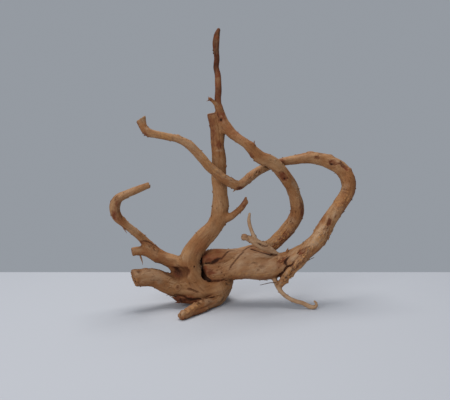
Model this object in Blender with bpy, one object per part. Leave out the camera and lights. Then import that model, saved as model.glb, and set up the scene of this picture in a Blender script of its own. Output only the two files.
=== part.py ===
"""Red moor wood root, a branched piece of peeled and dried shrub root.

The piece grew as one body, so it is one object. It is described as limbs: each is a route of
points with a radius, in millimetres, that a tube follows. The tubes are fused by a voxel remesh,
the crotches between them are filled out by a smooth union of their distances, cracks are carved
by the same distances, and saws and the ground then cut it flat.

The frame has +Z up, X across the root and Y from its front to its back. The origin is the middle
of the worn flat spot under the stump, on which the root stands with its two feet and a rootlet.
"""

import math
from dataclasses import dataclass

import bmesh
import bpy
import numpy as np
from mathutils import Vector

MM = 0.001

# Driving sizes, in millimetres.
SCALE = 1.0  # of the whole root, which stands about 350 mm tall
SAMPLE_STEP = 2.5  # between the points that a limb's route is read at
TUBE_SIDES = 16
FUSE_VOXEL = 1.3
FILLET_SHARE = 0.85  # of the thinner limb's radius, for the web in a crotch
CARVE_SOFTNESS = 1.2
SETTLE_ROUNDS = 3  # times that the fused skin is drawn onto the smooth union
SETTLE_STEP = 2.0  # most that a point moves in one round
PROBE = 0.1  # step by which the distance's slope is measured
FIELD_REACH = 25.0  # distances beyond this count as this
LEAST_FILLET = 0.3
FACE_TARGET = 9000
SPINE_SIDES = 5
SPINE_TIP_RADIUS = 0.3
SPINE_SUNK = 2.0  # depth of a splinter's foot in the wood, in foot radii
GROUND_SIZE = 500.0
BATCH = 8000  # points measured at once

WOOD_COLOUR = (0.33, 0.185, 0.10, 1.0)
WOOD_ROUGHNESS = 0.62


@dataclass
class Limb:
    """One root or twig: its route, and the ridges that run along it."""

    name: str
    route: list  # (x, y, z, radius)
    ridges: int = 3
    relief: float = 0.06  # height of ridges and swellings, as a share of the radius
    turns: float = 0.5  # that the ridges make round the limb, from end to end
    swell: float = 38.0  # length of one swelling along the limb
    fillet: float = FILLET_SHARE
    sawn: tuple = None  # a point on a saw cut and the way it faces, where another limb runs on past it


LIMBS = [
    Limb(
        "trunk",
        [
            (-14, -13, 17, 14.2),
            (-23, -17, 28, 14.1),
            (-29, -20, 39, 13.0),
            (-33, -22, 51, 12.2),
            (-32, -22, 62, 12.3),
            (-27, -21, 73, 11.9),
            (-18, -20, 84, 11.4),
            (-5, -18, 97, 10.4),
            (3, -16, 111, 10.2),
            (6, -14, 127, 10.2),
            (5, -12, 147, 9.1),
            (4, -10, 167, 9.0),
            (4, -8, 185, 8.9),
            (3, -6, 204, 8.6),
            (2, -5, 223, 9.0),
            (0, -4, 240, 10.0),
            (0, -4, 246, 10.3),
        ],
        turns=0.4,
        sawn=((0, -4, 244.5), (-0.16, -0.05, 1.0)),
    ),
    Limb(
        "stock",
        [
            (-9, -14, 45, 12.3),
            (-2, -14, 44, 13.2),
            (7, -13, 45, 14.6),
            (18, -13, 48, 16.7),
            (34, -14, 50, 18.0),
            (52, -15, 50, 18.2),
            (67, -17, 50, 16.9),
            (82, -18, 52, 14.7),
            (95, -19, 58, 12.2),
            (106, -20, 65, 10.7),
            (118, -20, 73, 10.2),
            (129, -18, 84, 10.0),
            (138, -15, 97, 9.7),
            (147, -11, 112, 9.1),
            (158, -6, 126, 8.6),
            (167, -1, 138, 8.6),
            (172, 4, 152, 9.1),
            (169, 8, 165, 9.3),
            (159, 11, 175, 9.2),
            (146, 13, 182, 8.9),
            (131, 14, 186, 8.1),
            (115, 13, 186, 6.9),
            (100, 11, 184, 6.1),
            (85, 9, 181, 5.4),
            (70, 6, 177, 5.3),
            (58, 0, 172, 5.6),
            (46, -8, 165, 6.1),
            (37, -15, 158, 5.8),
            (29, -22, 154, 6.0),
            (16, -27, 160, 6.1),
            (3, -31, 169, 5.8),
            (-8, -35, 179, 5.6),
            (-16, -38, 189, 5.5),
            (-24, -41, 198, 5.3),
            (-33, -44, 206, 5.1),
            (-44, -47, 212, 4.4),
            (-57, -51, 215, 4.3),
            (-71, -55, 218, 4.5),
            (-80, -57, 221, 4.8),
            (-85, -57, 228, 4.0),
            (-88, -56, 238, 4.8),
        ],
        turns=2.0,
        fillet=0.1,
    ),
    Limb(
        "fold",
        [
            (-14, -10, 58, 9.8),
            (-1, -12, 60, 10.5),
            (15, -13, 60, 10.3),
            (30, -12, 59, 9.3),
        ],
        fillet=0.12,
    ),
    Limb(
        "arch",
        [
            (13, -5, 54, 10.4),
            (29, -4, 58, 10.4),
            (45, -1, 63, 9.9),
            (59, 3, 67, 9.2),
            (73, 5, 72, 8.8),
            (84, 8, 82, 8.8),
            (94, 11, 92, 9.0),
            (103, 13, 103, 9.0),
            (107, 13, 114, 8.8),
            (106, 11, 126, 8.4),
            (99, 5, 147, 8.0),
            (91, -1, 160, 8.1),
            (81, -7, 173, 8.1),
            (69, -12, 183, 8.1),
            (56, -16, 189, 7.8),
            (48, -18, 196, 7.1),
            (38, -19, 206, 5.7),
            (28, -16, 213, 5.9),
            (19, -12, 220, 6.6),
            (12, -9.5, 230, 6.5),
            (7, -9, 242, 5.4),
            (4, -10, 251, 4.7),
            (3, -11, 260, 4.0),
            (4, -12, 274, 4.1),
            (3, -14, 290, 3.6),
            (1, -14, 299, 3.3),
            (2, -13, 310, 3.3),
            (1, -12, 321, 3.5),
            (1, -11, 332, 4.1),
            (2, -11, 339, 3.4),
            (4, -11, 345, 2.3),
        ],
        turns=1.2,
        fillet=0.9,
    ),
    Limb(
        "left_root",
        [
            (-33, -11, 31, 12.3),
            (-41, -14, 40, 11.6),
            (-47, -17, 49, 10.7),
            (-54, -19, 56, 9.3),
            (-63, -21, 60, 8.1),
            (-73, -24, 66, 7.8),
            (-82, -28, 76, 7.0),
            (-90, -33, 87, 5.2),
            (-100, -40, 99, 4.8),
            (-110, -47, 109, 4.8),
            (-119, -53, 120, 5.9),
            (-120, -56, 131, 6.2),
            (-116, -57, 141, 5.7),
            (-105, -55, 147, 4.8),
            (-92, -52, 152, 4.3),
            (-76, -49, 158.5, 3.6),
        ],
        fillet=0.3,
    ),
    Limb(
        "left_stub",
        [
            (-74, -24, 64, 7.0),
            (-84, -27, 70, 6.5),
            (-93, -30, 72, 5.8),
            (-108, -34, 71, 5.2),
        ],
    ),
    Limb(
        "low_stub",
        [
            (-20, -13, 19, 14.9),
            (-37, -15, 19, 14.8),
            (-52, -19, 24, 13.6),
            (-64, -25, 31, 12.2),
            (-77, -32, 38, 11.2),
            (-89, -39, 41, 10.6),
            (-105, -48, 42, 9.9),
        ],
        fillet=0.45,
    ),
    Limb(
        "base",
        [
            (-24, -14, 20, 14.5),
            (-8, -15, 21, 14.6),
            (3, -14, 22, 14.2),
            (9, -11, 25, 12.6),
        ],
        fillet=0.5,
    ),
    Limb(
        "wrap_root",
        [
            (-10, 6, 42, 13.2),
            (1, 4, 38, 13.2),
            (9, -2, 29, 12.4),
            (9, -8, 19, 11.2),
            (5, -15, 12, 9.6),
            (1, -22, 8.5, 8.7),
            (-7, -35, 7, 7.4),
            (-15, -46, 7, 7.5),
            (-21, -55, 6.5, 7.3),
            (-28, -65, 6, 6.8),
            (-34, -74, 5, 6.2),
            (-40, -82, 4.5, 5.4),
        ],
        fillet=0.2,
    ),
    Limb(
        "stump",
        [
            (-19, -13, 28, 14.2),
            (-8, -5, 20, 15.7),
            (0, 5, 15, 17.2),
        ],
        fillet=0.3,
    ),
    Limb(
        "back_foot",
        [
            (0, 5, 24, 15.8),
            (4, 16, 16, 12.7),
            (2, 27, 7, 9.8),
            (0, 35, 2, 7.4),
        ],
    ),
    Limb(
        "broken_root",
        [
            (-16, -17, 9, 7.7),
            (-25, -23, 8, 5.9),
            (-35, -29, 9, 4.8),
            (-45, -33, 11, 4.0),
            (-53, -37, 15, 2.0),
        ],
        fillet=0.4,
    ),
    Limb(
        "torn_slab",
        [
            (124, -21, 74, 5.4),
            (113, -26, 63, 6.2),
            (102, -29, 53, 6.6),
            (93, -30, 43, 6.2),
            (86, -29, 34, 5.2),
            (81, -28, 28, 3.4),
        ],
        relief=0.12,
        fillet=0.2,
    ),
    Limb(
        "floor_rootlet",
        [
            (73, -19, 40, 3.8),
            (76, -25, 32, 3.0),
            (80, -29, 24, 2.8),
            (86, -32, 17, 2.6),
            (94, -35, 12, 2.6),
            (102, -37, 9, 2.6),
            (110, -38, 7, 2.6),
            (116, -39, 4, 2.8),
            (122, -40, 2.4, 2.6),
            (126, -40, 4, 2.1),
            (126, -40, 8, 1.6),
            (123, -40, 11, 1.2),
        ],
        relief=0.03,
    ),
    Limb(
        "top_rootlet",
        [
            (84, -17, 60, 3.8),
            (77, -21, 67, 3.0),
            (68, -24, 73, 4.4),
            (57, -26, 79, 5.2),
            (47, -28, 85, 4.4),
            (36, -30, 90, 3.4),
        ],
        fillet=0.3,
    ),
    Limb(
        "rootlet_twig",
        [
            (51, -27, 84, 3.0),
            (48, -27, 91, 2.5),
            (44, -26, 101, 2.4),
            (42, -24, 110, 2.3),
            (43, -22, 118, 1.6),
        ],
        relief=0.03,
    ),
    Limb(
        "trunk_twig",
        [
            (8, -16, 111, 6.3),
            (18, -20, 114, 5.0),
            (26, -23, 120, 3.9),
            (33, -26, 127, 3.9),
            (37, -27, 134, 3.2),
            (38, -27, 140, 1.2),
        ],
    ),
    Limb(
        "tip_twig",
        [
            (5, -12, 250, 4.0),
            (1, -14, 254, 3.0),
            (-3, -16, 258, 2.2),
            (-7, -18, 261, 1.9),
        ],
    ),
]

# Cracks and hollows, each the route of the tube that is carved away.
HOLLOWS = [
    Limb(
        "stock_socket",
        [
            (-16, -13, 65, 2.8),
            (-20, -16, 57, 3.8),
            (-20.5, -17, 49, 5.2),
            (-20, -20, 42, 5.6),
            (-16, -22, 37, 5.2),
            (-10, -22, 34, 4.4),
            (-3, -22, 33, 3.8),
            (5, -22, 33, 3.2),
            (13, -20, 33, 2.4),
        ],
    ),
    Limb(
        "fold_crack",
        [
            (-20, -23, 53, 1.2),
            (-12, -25, 54.5, 1.4),
            (-5, -25, 56, 2.2),
            (1, -25, 59.5, 3.0),
            (6, -25, 62, 1.8),
            (11, -23, 65.5, 1.4),
            (17, -21, 70, 1.3),
            (26, -18, 71.5, 1.0),
        ],
    ),
    Limb(
        "stock_crack",
        [
            (40, -21, 71.5, 1.0),
            (36, -24, 70, 1.4),
            (29, -29, 64, 1.6),
            (22, -32, 56, 1.5),
            (17, -31, 47, 1.0),
        ],
    ),
    Limb(
        "slab_crack",
        [
            (103, -29, 63, 1.2),
            (92, -33, 52, 1.8),
            (85, -34, 46, 2.2),
            (80, -33, 41, 2.2),
            (75, -31, 37, 1.6),
        ],
    ),
    Limb(
        "foot_crack",
        [
            (-57, -36, 18, 2.0),
            (-48, -36, 17, 2.3),
            (-40, -35, 15, 2.2),
            (-33, -33, 11, 2.2),
            (-27, -32, 9, 2.8),
            (-20, -31, 10.5, 2.6),
            (-12, -30, 12.5, 2.4),
            (-4, -27, 13.5, 2.0),
            (4, -23, 14, 1.4),
        ],
    ),
    Limb(
        "base_crack",
        [
            (-37, -31, 23, 1.0),
            (-29, -32, 21, 1.4),
            (-20, -31, 18, 1.0),
        ],
    ),
    Limb(
        "root_hollow",
        [
            (-59, -27, 45, 4.5),
            (-51, -27, 41, 6.5),
            (-44, -29, 40, 8.0),
            (-38, -33, 45, 5.0),
        ],
    ),
]


@dataclass
class SawCut:
    """A flat cut through a limb: a point on it, the way that it faces, and its depth."""

    name: str
    point: tuple
    facing: tuple
    size: float  # of the box that is taken away


SAW_CUTS = [
    SawCut("left_stub_end", (-104, -33, 71), (-1.0, -0.35, -0.12), 20.0),
    SawCut("low_stub_end", (-101, -45, 42), (-0.95, -0.42, -0.20), 32.0),
    SawCut("left_root_end", (-79, -49, 157), (0.93, 0.2, 0.30), 20.0),
]

# Splinters and spines: foot, tip and foot radius.
SPINES = [
    ((-94, -31, 66), (-91, -33, 55), 1.5),
    ((-109, -48, 103), (-108, -50, 95), 1.9),
    ((-21, -24, 91), (-25, -25, 95), 2.2),
    ((44, -19, 200), (46, -20, 210), 2.2),
    ((38, -18, 204), (43, -19, 208.5), 2.0),
    ((-81, -57, 219), (-84, -58, 214), 2.0),
    ((-86, -56, 236), (-81, -57, 243), 2.2),
    ((26, -23, 151), (22, -24, 146), 2.0),
    ((-6, -18, 260), (-11, -19, 258), 1.0),
    ((-6, -18, 260), (-9, -18, 264), 1.0),
    ((38, -30, 90), (32, -31, 91.5), 1.6),
    ((38, -30, 88), (33, -32, 86), 1.5),
    ((149, -13, 105), (152, -15, 101), 2.2),
    ((92, -32, 41), (95, -35, 38), 2.2),
    ((170, 8, 168), (173, 9, 172), 2.4),
    ((113, -26, 60), (118, -28, 60), 2.4),
    ((89, -20, 70), (91, -21, 75), 2.2),
]


def smooth_samples(route, step):
    """Centres and radii every step along a Catmull-Rom curve through the route's points."""
    knots = np.array(route, float)
    spans = np.linalg.norm(np.diff(knots[:, :3], axis=0), axis=1)
    at = np.concatenate([[0.0], np.cumsum(spans)])
    slopes = np.gradient(knots, at, axis=0)
    wanted = np.linspace(0.0, at[-1], max(4, int(math.ceil(at[-1] / step)) + 1))
    i = np.clip(np.searchsorted(at, wanted, side="right") - 1, 0, len(spans) - 1)
    h = spans[i][:, None]
    t = ((wanted - at[i]) / spans[i])[:, None]
    samples = (
        (2 * t**3 - 3 * t**2 + 1) * knots[i]
        + (t**3 - 2 * t**2 + t) * h * slopes[i]
        + (3 * t**2 - 2 * t**3) * knots[i + 1]
        + (t**3 - t**2) * h * slopes[i + 1]
    )
    return samples[:, :3], samples[:, 3], wanted


def carried_frames(centres):
    """Two directions across the curve at each sample, carried along it without twisting."""
    ways = np.gradient(centres, axis=0)
    ways /= np.linalg.norm(ways, axis=1)[:, None]
    across = np.empty_like(ways)
    first = np.cross(ways[0], (0.0, 1.0, 0.0))
    if np.linalg.norm(first) < 0.1:
        first = np.cross(ways[0], (1.0, 0.0, 0.0))
    across[0] = first / np.linalg.norm(first)
    for i in range(1, len(ways)):
        carried = across[i - 1] - ways[i] * np.dot(across[i - 1], ways[i])
        across[i] = carried / np.linalg.norm(carried)
    return across, np.cross(ways, across)


class Skeleton:
    """A limb read at close samples, with its distance field and its tube."""

    def __init__(self, limb):
        self.limb = limb
        self.centres, self.radii, self.along = smooth_samples(limb.route, SAMPLE_STEP)
        self.across, self.beside = carried_frames(self.centres)
        self.phase = sum(map(ord, limb.name)) % 7

    def swelling(self, along, angle):
        """What ridges and swellings multiply the radius by."""
        limb = self.limb
        twist = 2 * math.pi * limb.turns * along / self.along[-1]
        ridge = np.sin(limb.ridges * angle + twist + self.phase)
        oval = np.sin(2 * angle - 0.6 * twist + 2.0 * self.phase)
        lump = np.sin(2 * math.pi * along / limb.swell + angle + 3.0 * self.phase)
        return 1 + limb.relief * (0.5 * ridge + 0.6 * oval + 0.5 * lump)

    def tube(self):
        """Rings of points, and the faces between them, closed at both ends by a point."""
        turn = np.linspace(0, 2 * math.pi, TUBE_SIDES, endpoint=False)
        swelling = self.swelling(self.along[:, None], turn[None, :])
        arm = (self.radii[:, None] * swelling)[:, :, None]
        rings = self.centres[:, None] + arm * (
            np.cos(turn)[None, :, None] * self.across[:, None]
            + np.sin(turn)[None, :, None] * self.beside[:, None]
        )
        ends = [
            2 * self.centres[0] - self.centres[1],
            2 * self.centres[-1] - self.centres[-2],
        ]
        points = np.concatenate([rings.reshape(-1, 3), ends])
        count = len(rings)
        faces = []
        for ring in range(count - 1):
            for side in range(TUBE_SIDES):
                a = ring * TUBE_SIDES + side
                b = ring * TUBE_SIDES + (side + 1) % TUBE_SIDES
                faces.append((a, b, b + TUBE_SIDES, a + TUBE_SIDES))
        last = (count - 1) * TUBE_SIDES
        for side in range(TUBE_SIDES):
            after = (side + 1) % TUBE_SIDES
            faces.append((after, side, len(points) - 2))
            faces.append((last + side, last + after, len(points) - 1))
        return points, faces

    def beside_span(self, points, first):
        """Gap to the span that starts at sample first, that sample, the share along, the offset."""
        first = np.clip(first, 0, len(self.centres) - 2)
        base = self.centres[first]
        edge = self.centres[first + 1] - base
        t = np.clip(((points - base) * edge).sum(1) / (edge**2).sum(1), 0, 1)
        away = points - base - t[:, None] * edge
        return np.linalg.norm(away, axis=1), first, t, away

    def distance(self, points):
        """Distance of each point from the limb's skin, negative inside, and the radius there."""
        squares = (self.centres**2).sum(1)
        nearest = np.empty(len(points), int)
        for start in range(0, len(points), BATCH):
            part = points[start : start + BATCH]
            nearest[start : start + BATCH] = (squares - 2 * part @ self.centres.T).argmin(1)
        before = self.beside_span(points, nearest - 1)
        after = self.beside_span(points, nearest)
        closer = before[0] < after[0]
        gap, first, t = (np.where(closer, a, b) for a, b in zip(before[:3], after[:3]))
        away = np.where(closer[:, None], before[3], after[3])
        radius = self.radii[first] * (1 - t) + self.radii[first + 1] * t
        along = self.along[first] * (1 - t) + self.along[first + 1] * t
        angle = np.arctan2((away * self.beside[first]).sum(1), (away * self.across[first]).sum(1))
        skin = gap - radius * self.swelling(along, angle)
        if self.limb.sawn:
            point, facing = (np.array(v, float) for v in self.limb.sawn)
            skin = np.maximum(skin, (points - point) @ (facing / np.linalg.norm(facing)))
        return skin, radius

    def reach(self, points):
        """Which points lie near enough to the limb's box to count."""
        most = self.radii.max() * (1 + 2 * self.limb.relief) + FIELD_REACH
        low, high = self.centres.min(0) - most, self.centres.max(0) + most
        return np.nonzero(((points > low) & (points < high)).all(1))[0]


def smooth_least(a, b, width):
    """The lesser of two distances, rounded over where they are within width of each other."""
    share = np.clip(width - np.abs(a - b), 0, None) / width
    return np.minimum(a, b) - share**2 * width / 4


def root_distance(points, limbs, hollows):
    """Distance of each point from the whole root's skin, in millimetres."""
    total = np.full(len(points), FIELD_REACH)
    for limb in limbs:
        near = limb.reach(points)
        own, radius = limb.distance(points[near])
        width = np.maximum(radius * limb.limb.fillet, LEAST_FILLET)
        total[near] = smooth_least(total[near], own, width)
    for hollow in hollows:
        near = hollow.reach(points)
        own, _ = hollow.distance(points[near])
        total[near] = -smooth_least(-total[near], own, np.full(len(near), CARVE_SOFTNESS))
    return total


def new_object(name, points, faces):
    """A mesh object from points in millimetres."""
    mesh = bpy.data.meshes.new(name)
    mesh.from_pydata((np.asarray(points) * MM * SCALE).tolist(), [], faces)
    mesh.update()
    obj = bpy.data.objects.new(name, mesh)
    bpy.context.scene.collection.objects.link(obj)
    return obj


def evaluated_copy(obj):
    """The object's mesh with its modifiers applied."""
    bpy.context.view_layer.update()
    graph = bpy.context.evaluated_depsgraph_get()
    return bpy.data.meshes.new_from_object(obj.evaluated_get(graph))


def joined_tubes(name, limbs):
    """The limbs' tubes in one mesh, still running through one another."""
    points, faces = [], []
    for limb in limbs:
        start = len(points)
        tube_points, tube_faces = limb.tube()
        points.extend(tube_points)
        faces.extend(tuple(start + i for i in face) for face in tube_faces)
    return new_object(name, points, faces)


def fuse(obj):
    """Makes the mesh one closed skin of even faces."""
    remesh = obj.modifiers.new("fuse", "REMESH")
    remesh.mode = "VOXEL"
    remesh.voxel_size = FUSE_VOXEL * MM * SCALE
    mesh = evaluated_copy(obj)
    obj.modifiers.clear()
    obj.data = mesh


def steepest(points, distance, limbs, hollows):
    """The way in which the distance grows fastest at each point."""
    ways = np.stack(
        [
            root_distance(points + PROBE * axis, limbs, hollows) - distance
            for axis in np.eye(3)
        ],
        axis=1,
    )
    return ways / np.maximum(np.linalg.norm(ways, axis=1), 1e-9)[:, None]


def settle(obj, limbs, hollows):
    """Draws the fused skin onto the smooth union."""
    mesh = obj.data
    points = np.empty(len(mesh.vertices) * 3, np.float32)
    mesh.vertices.foreach_get("co", points)
    points = points.reshape(-1, 3).astype(float) / (MM * SCALE)
    for _ in range(SETTLE_ROUNDS):
        distance = root_distance(points, limbs, hollows)
        step = np.clip(distance, -SETTLE_STEP, SETTLE_STEP)
        points -= step[:, None] * steepest(points, distance, limbs, hollows)
    mesh.vertices.foreach_set("co", (points * MM * SCALE).astype(np.float32).ravel())
    mesh.update()


def cut_with(obj, cutter):
    """A Boolean that takes the cutter away."""
    cut = obj.modifiers.new(cutter.name, "BOOLEAN")
    cut.operation = "DIFFERENCE"
    cut.solver = "MANIFOLD"
    cut.object = cutter


def carve(obj, hollows):
    """Takes the hollows' tubes out of the fused skin."""
    fuse(hollows)
    cut_with(obj, hollows)
    mesh = evaluated_copy(obj)
    obj.modifiers.clear()
    obj.data = mesh
    bpy.data.objects.remove(hollows)


def spine_object(number, foot, tip, radius):
    """A pointed splinter, its foot sunk well into the wood."""
    foot, tip = Vector(foot), Vector(tip)
    way = (tip - foot).normalized()
    sunk = foot - way * SPINE_SUNK * radius
    mesh = bpy.data.meshes.new(f"spine_{number}")
    made = bmesh.new()
    bmesh.ops.create_cone(
        made,
        cap_ends=True,
        segments=SPINE_SIDES,
        radius1=radius * MM * SCALE,
        radius2=SPINE_TIP_RADIUS * MM * SCALE,
        depth=(tip - sunk).length * MM * SCALE,
    )
    made.to_mesh(mesh)
    made.free()
    obj = bpy.data.objects.new(f"spine_{number}", mesh)
    obj.rotation_mode = "QUATERNION"
    obj.rotation_quaternion = way.to_track_quat("Z", "Y")
    obj.location = (sunk + tip) / 2 * MM * SCALE
    return obj


def join_spines(obj):
    """One Boolean union of the root with all its splinters."""
    spines = bpy.data.collections.new("spines")
    bpy.context.scene.collection.children.link(spines)
    for number, spine in enumerate(SPINES):
        spines.objects.link(spine_object(number, *spine))
    union = obj.modifiers.new("spines", "BOOLEAN")
    union.operation = "UNION"
    union.operand_type = "COLLECTION"
    union.collection = spines
    union.solver = "MANIFOLD"
    mesh = evaluated_copy(obj)
    obj.modifiers.clear()
    obj.data = mesh
    for spine in list(spines.objects):
        bpy.data.objects.remove(spine)
    bpy.data.collections.remove(spines)


def cutting_box(name, point, facing, size):
    """A hidden box whose near face lies at point, square to facing."""
    bpy.ops.mesh.primitive_cube_add(size=size * MM * SCALE)
    box = bpy.context.object
    box.name = name
    way = Vector(facing).normalized()
    box.rotation_mode = "QUATERNION"
    box.rotation_quaternion = way.to_track_quat("Z", "Y")
    box.location = (Vector(point) + way * size / 2) * MM * SCALE
    box.hide_render = True
    box.display_type = "WIRE"
    return box


def wood_material():
    wood = bpy.data.materials.new("peeled_root_wood")
    wood.use_nodes = True
    shader = wood.node_tree.nodes["Principled BSDF"]
    shader.inputs["Base Color"].default_value = WOOD_COLOUR
    shader.inputs["Roughness"].default_value = WOOD_ROUGHNESS
    shader.inputs["Metallic"].default_value = 0.0
    return wood


def build():
    for old in list(bpy.data.objects):
        bpy.data.objects.remove(old)
    limbs = [Skeleton(limb) for limb in LIMBS]
    hollows = [Skeleton(hollow) for hollow in HOLLOWS]
    root = joined_tubes("wood_root", limbs)
    fuse(root)
    settle(root, limbs, [])
    carve(root, joined_tubes("hollows", hollows))
    fuse(root)
    settle(root, limbs, hollows)
    thin = root.modifiers.new("thin_out", "DECIMATE")
    thin.ratio = FACE_TARGET / (2 * len(root.data.polygons))
    root.data = evaluated_copy(root)
    root.modifiers.clear()
    root.data.shade_smooth()
    join_spines(root)
    for saw in SAW_CUTS:
        cut_with(root, cutting_box(saw.name, saw.point, saw.facing, saw.size))
    cut_with(root, cutting_box("ground", (0, 0, 0), (0, 0, -1), GROUND_SIZE))
    root.data.materials.clear()
    root.data.materials.append(wood_material())
    return root


build()
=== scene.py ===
"""Looks of a peeled red moor root: its skin of wood, splinters, loose scales of bark and fibres.

The skin is worked out from the routes of the root's limbs. Each limb has a distance field round a
curve; the fields are joined by a smooth union, roughened along the grain, marked with knots and
scars, and split by cracks. A voxel skin is then drawn onto that field. Lengths are in millimetres
in the frame of the CAD part, and become metres when a mesh is made.
"""

import logging
import math
from dataclasses import dataclass, fields
from enum import Enum
from itertools import product

import bpy
import numpy as np
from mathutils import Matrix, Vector


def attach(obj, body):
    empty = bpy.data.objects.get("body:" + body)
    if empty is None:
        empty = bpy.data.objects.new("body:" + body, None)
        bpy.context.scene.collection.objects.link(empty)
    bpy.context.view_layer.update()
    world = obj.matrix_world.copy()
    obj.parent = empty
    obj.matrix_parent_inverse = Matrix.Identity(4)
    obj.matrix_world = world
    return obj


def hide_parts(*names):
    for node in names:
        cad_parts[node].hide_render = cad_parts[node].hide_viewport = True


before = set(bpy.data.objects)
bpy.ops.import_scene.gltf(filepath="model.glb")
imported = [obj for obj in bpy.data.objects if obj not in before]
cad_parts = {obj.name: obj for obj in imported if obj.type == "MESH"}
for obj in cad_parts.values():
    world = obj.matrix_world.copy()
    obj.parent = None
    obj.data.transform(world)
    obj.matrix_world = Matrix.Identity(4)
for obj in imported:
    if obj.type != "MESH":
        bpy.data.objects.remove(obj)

Array = np.ndarray
Faces = list[list[int]]
Point = tuple[float, float, float]
Colour = tuple[float, float, float]
Span = tuple[float, float]  # from and to
Station = tuple[float, float, float, float]  # x, y, z and radius
Route = tuple[Station, ...]

LOG = logging.getLogger("moor_root")
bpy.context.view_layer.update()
MM = 0.001  # metres in a millimetre
NODE = "wood_root"
BODY = "root"
TURN = 2 * math.pi

SAMPLE_STEP = 2.0  # between the samples of a limb's curve
CREASE_STEP = 0.7  # between those of a crack's
TUBE_SIDES = 20
FILLET_SHARE = 0.85  # of a limb's radius, for the web where it joins another
LEAST_FILLET = 0.3
FIELD_REACH = 25.0  # distances beyond this count as this
FINE_REACH = 7.0  # from the skin, within which its roughness is worked out
CUT_REACH = 24.0  # from a cut's point, within which it cuts
CUT_CELL = 2.6  # of the noise that makes a break ragged
HOLLOW_CELL = 6.0  # of the noise in a hollow's wall
HOLLOW_ROUGH = 0.12  # of the hollow's radius
# painted shade on the walls of the carved hollows
HOLLOW_SHADE = (0.2, 3.4)  # under the old skin, over which a hollow's wall turns dark
HOLLOW_RED = (3.0, 0.0)  # from a hollow's wall, over which the wood turns red
HOLLOW_REDNESS = 0.45
LONGEST_MOVE = 2.0  # of a point in one round of settling
BATCH = 16000  # points measured at once
RED, PALE, DARK, FLAKY, GOLD = range(5)  # columns of the looks


def rise(low: float, high: float, value: Array) -> Array:
    """Eased step from 0 where value is low to 1 where it is high: 3t^2 - 2t^3."""
    t = np.clip((value - low) / (high - low), 0.0, 1.0)
    return t * t * (3 - 2 * t)


def unit(vectors: Array) -> Array:
    """The vectors at length 1."""
    return vectors / np.maximum(np.linalg.norm(vectors, axis=-1, keepdims=True), 1e-9)


def near_line(points: Array, line: Array, margin: float) -> Array:
    """Which points lie in the box round a line's points, grown by a margin."""
    low, high = line.min(0) - margin, line.max(0) + margin
    return np.nonzero(((points > low) & (points < high)).all(1))[0]


def blended(first: Array, second: Array, width: Array) -> tuple[Array, Array]:
    """Joins two distances smoothly: the lesser one, less a quarter of their squared overlap.

    Args:
        first: distances from one shape.
        second: distances from the other.
        width: of the fillet between them.

    Returns:
        The distances from both, and the second shape's share in each.
    """
    overlap = np.clip(width - np.abs(first - second), 0, None) / width
    share = np.clip(0.5 + 0.5 * (first - second) / width, 0, 1)
    return np.minimum(first, second) - overlap**2 * width / 4, share


def spun(across: Array, beside: Array, sides: int) -> Array:
    """Directions round a line, from two across it: cosine of the first plus sine of the other.

    Args:
        across: a direction across the line, by axis last.
        beside: the one square to it.
        sides: how many to a turn.

    Returns:
        The directions, with the sides before the axis.
    """
    turn = np.linspace(0, TURN, sides, endpoint=False)[:, None]
    return np.cos(turn) * across[..., None, :] + np.sin(turn) * beside[..., None, :]


class LatticeNoise:
    """Smooth random numbers through space, from about -1 to 1, the same each run."""

    def __init__(self, seed: int) -> None:
        """Draws the slopes of the lattice.

        Args:
            seed: of the random draw.
        """
        draw = np.random.default_rng(seed)
        self.order = draw.permutation(256)
        self.slopes = unit(draw.normal(size=(256, 3))).astype(np.float32)

    def at(self, places: Array) -> Array:
        """Reads the noise.

        Each whole-number point of space has a random slope. The heights that the eight slopes round
        a place give there are mixed with eased shares of the way across the cell.

        Args:
            places: points, with one cell of the lattice to a unit.

        Returns:
            One number for each place.
        """
        floor = np.floor(places)
        inner = (places - floor).astype(np.float32)
        cell = floor.astype(np.int64)
        ease = inner**3 * (inner * (inner * 6 - 15) + 10)
        total = np.zeros(len(places), np.float32)
        for corner in product((0, 1), repeat=3):
            x, y, z = ((cell + corner) & 255).T
            pick = self.order[(self.order[(self.order[x] + y) & 255] + z) & 255]
            height = (self.slopes[pick] * (inner - np.array(corner, np.float32))).sum(1)
            total += height * np.where(corner, ease, 1 - ease).prod(1)
        return 1.6 * total


FLUTES, LUMPS, CHATTER, RAGS = (LatticeNoise(seed) for seed in (11, 23, 37, 53))


@dataclass(frozen=True)
class Relief:
    """The dried skin's relief: cells of noise across and along the grain, heights and edges.

    An edge is the noise from which to which a form grows. Wood over the thick radii is calmer, and
    the relief's vigour goes with the radius, as a share of the usual one.
    """

    flute_cell: Point = (4.6, 4.6, 46.0)
    flute_height: float = 0.30
    groove_cell: Point = (6.1, 6.1, 38.0)
    groove_depth: float = 0.42
    groove_place: Point = (14.0, 14.0, 30.0)
    lump_cell: Point = (9.0, 9.0, 13.0)
    lump_height: float = 0.55
    nub_cell: Point = (3.4, 3.4, 5.0)
    nub_height: float = 0.8
    chatter_cell: Point = (2.3, 2.3, 6.0)
    chatter_height: float = 0.14
    flake_cell: Point = (1.7, 1.7, 5.0)
    groove_edge: Span = (0.4, 1.0)
    groove_where: Span = (0.05, 0.5)
    nub_edge: Span = (0.42, 0.85)
    thick: Span = (12.5, 16.5)
    thick_calm: float = 0.4
    usual_radius: float = 7.5
    vigour: Span = (0.3, 1.2)


RELIEF = Relief()


@dataclass(frozen=True)
class MarkForm:
    """What all marks share. Lengths are shares of the mark's own, and flecks go by the noise."""

    reach: float = 1.8
    rag_cell: Point = (0.6, 0.6, 1.2)
    rim_place: float = 1.05
    rim_width: float = 0.22
    eye_width: float = 0.38
    eye_dark: float = 0.8
    fleck_edge: Span = (0.05, 0.6)
    strongest: float = 1.4


MARK_FORM = MarkForm()


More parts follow.
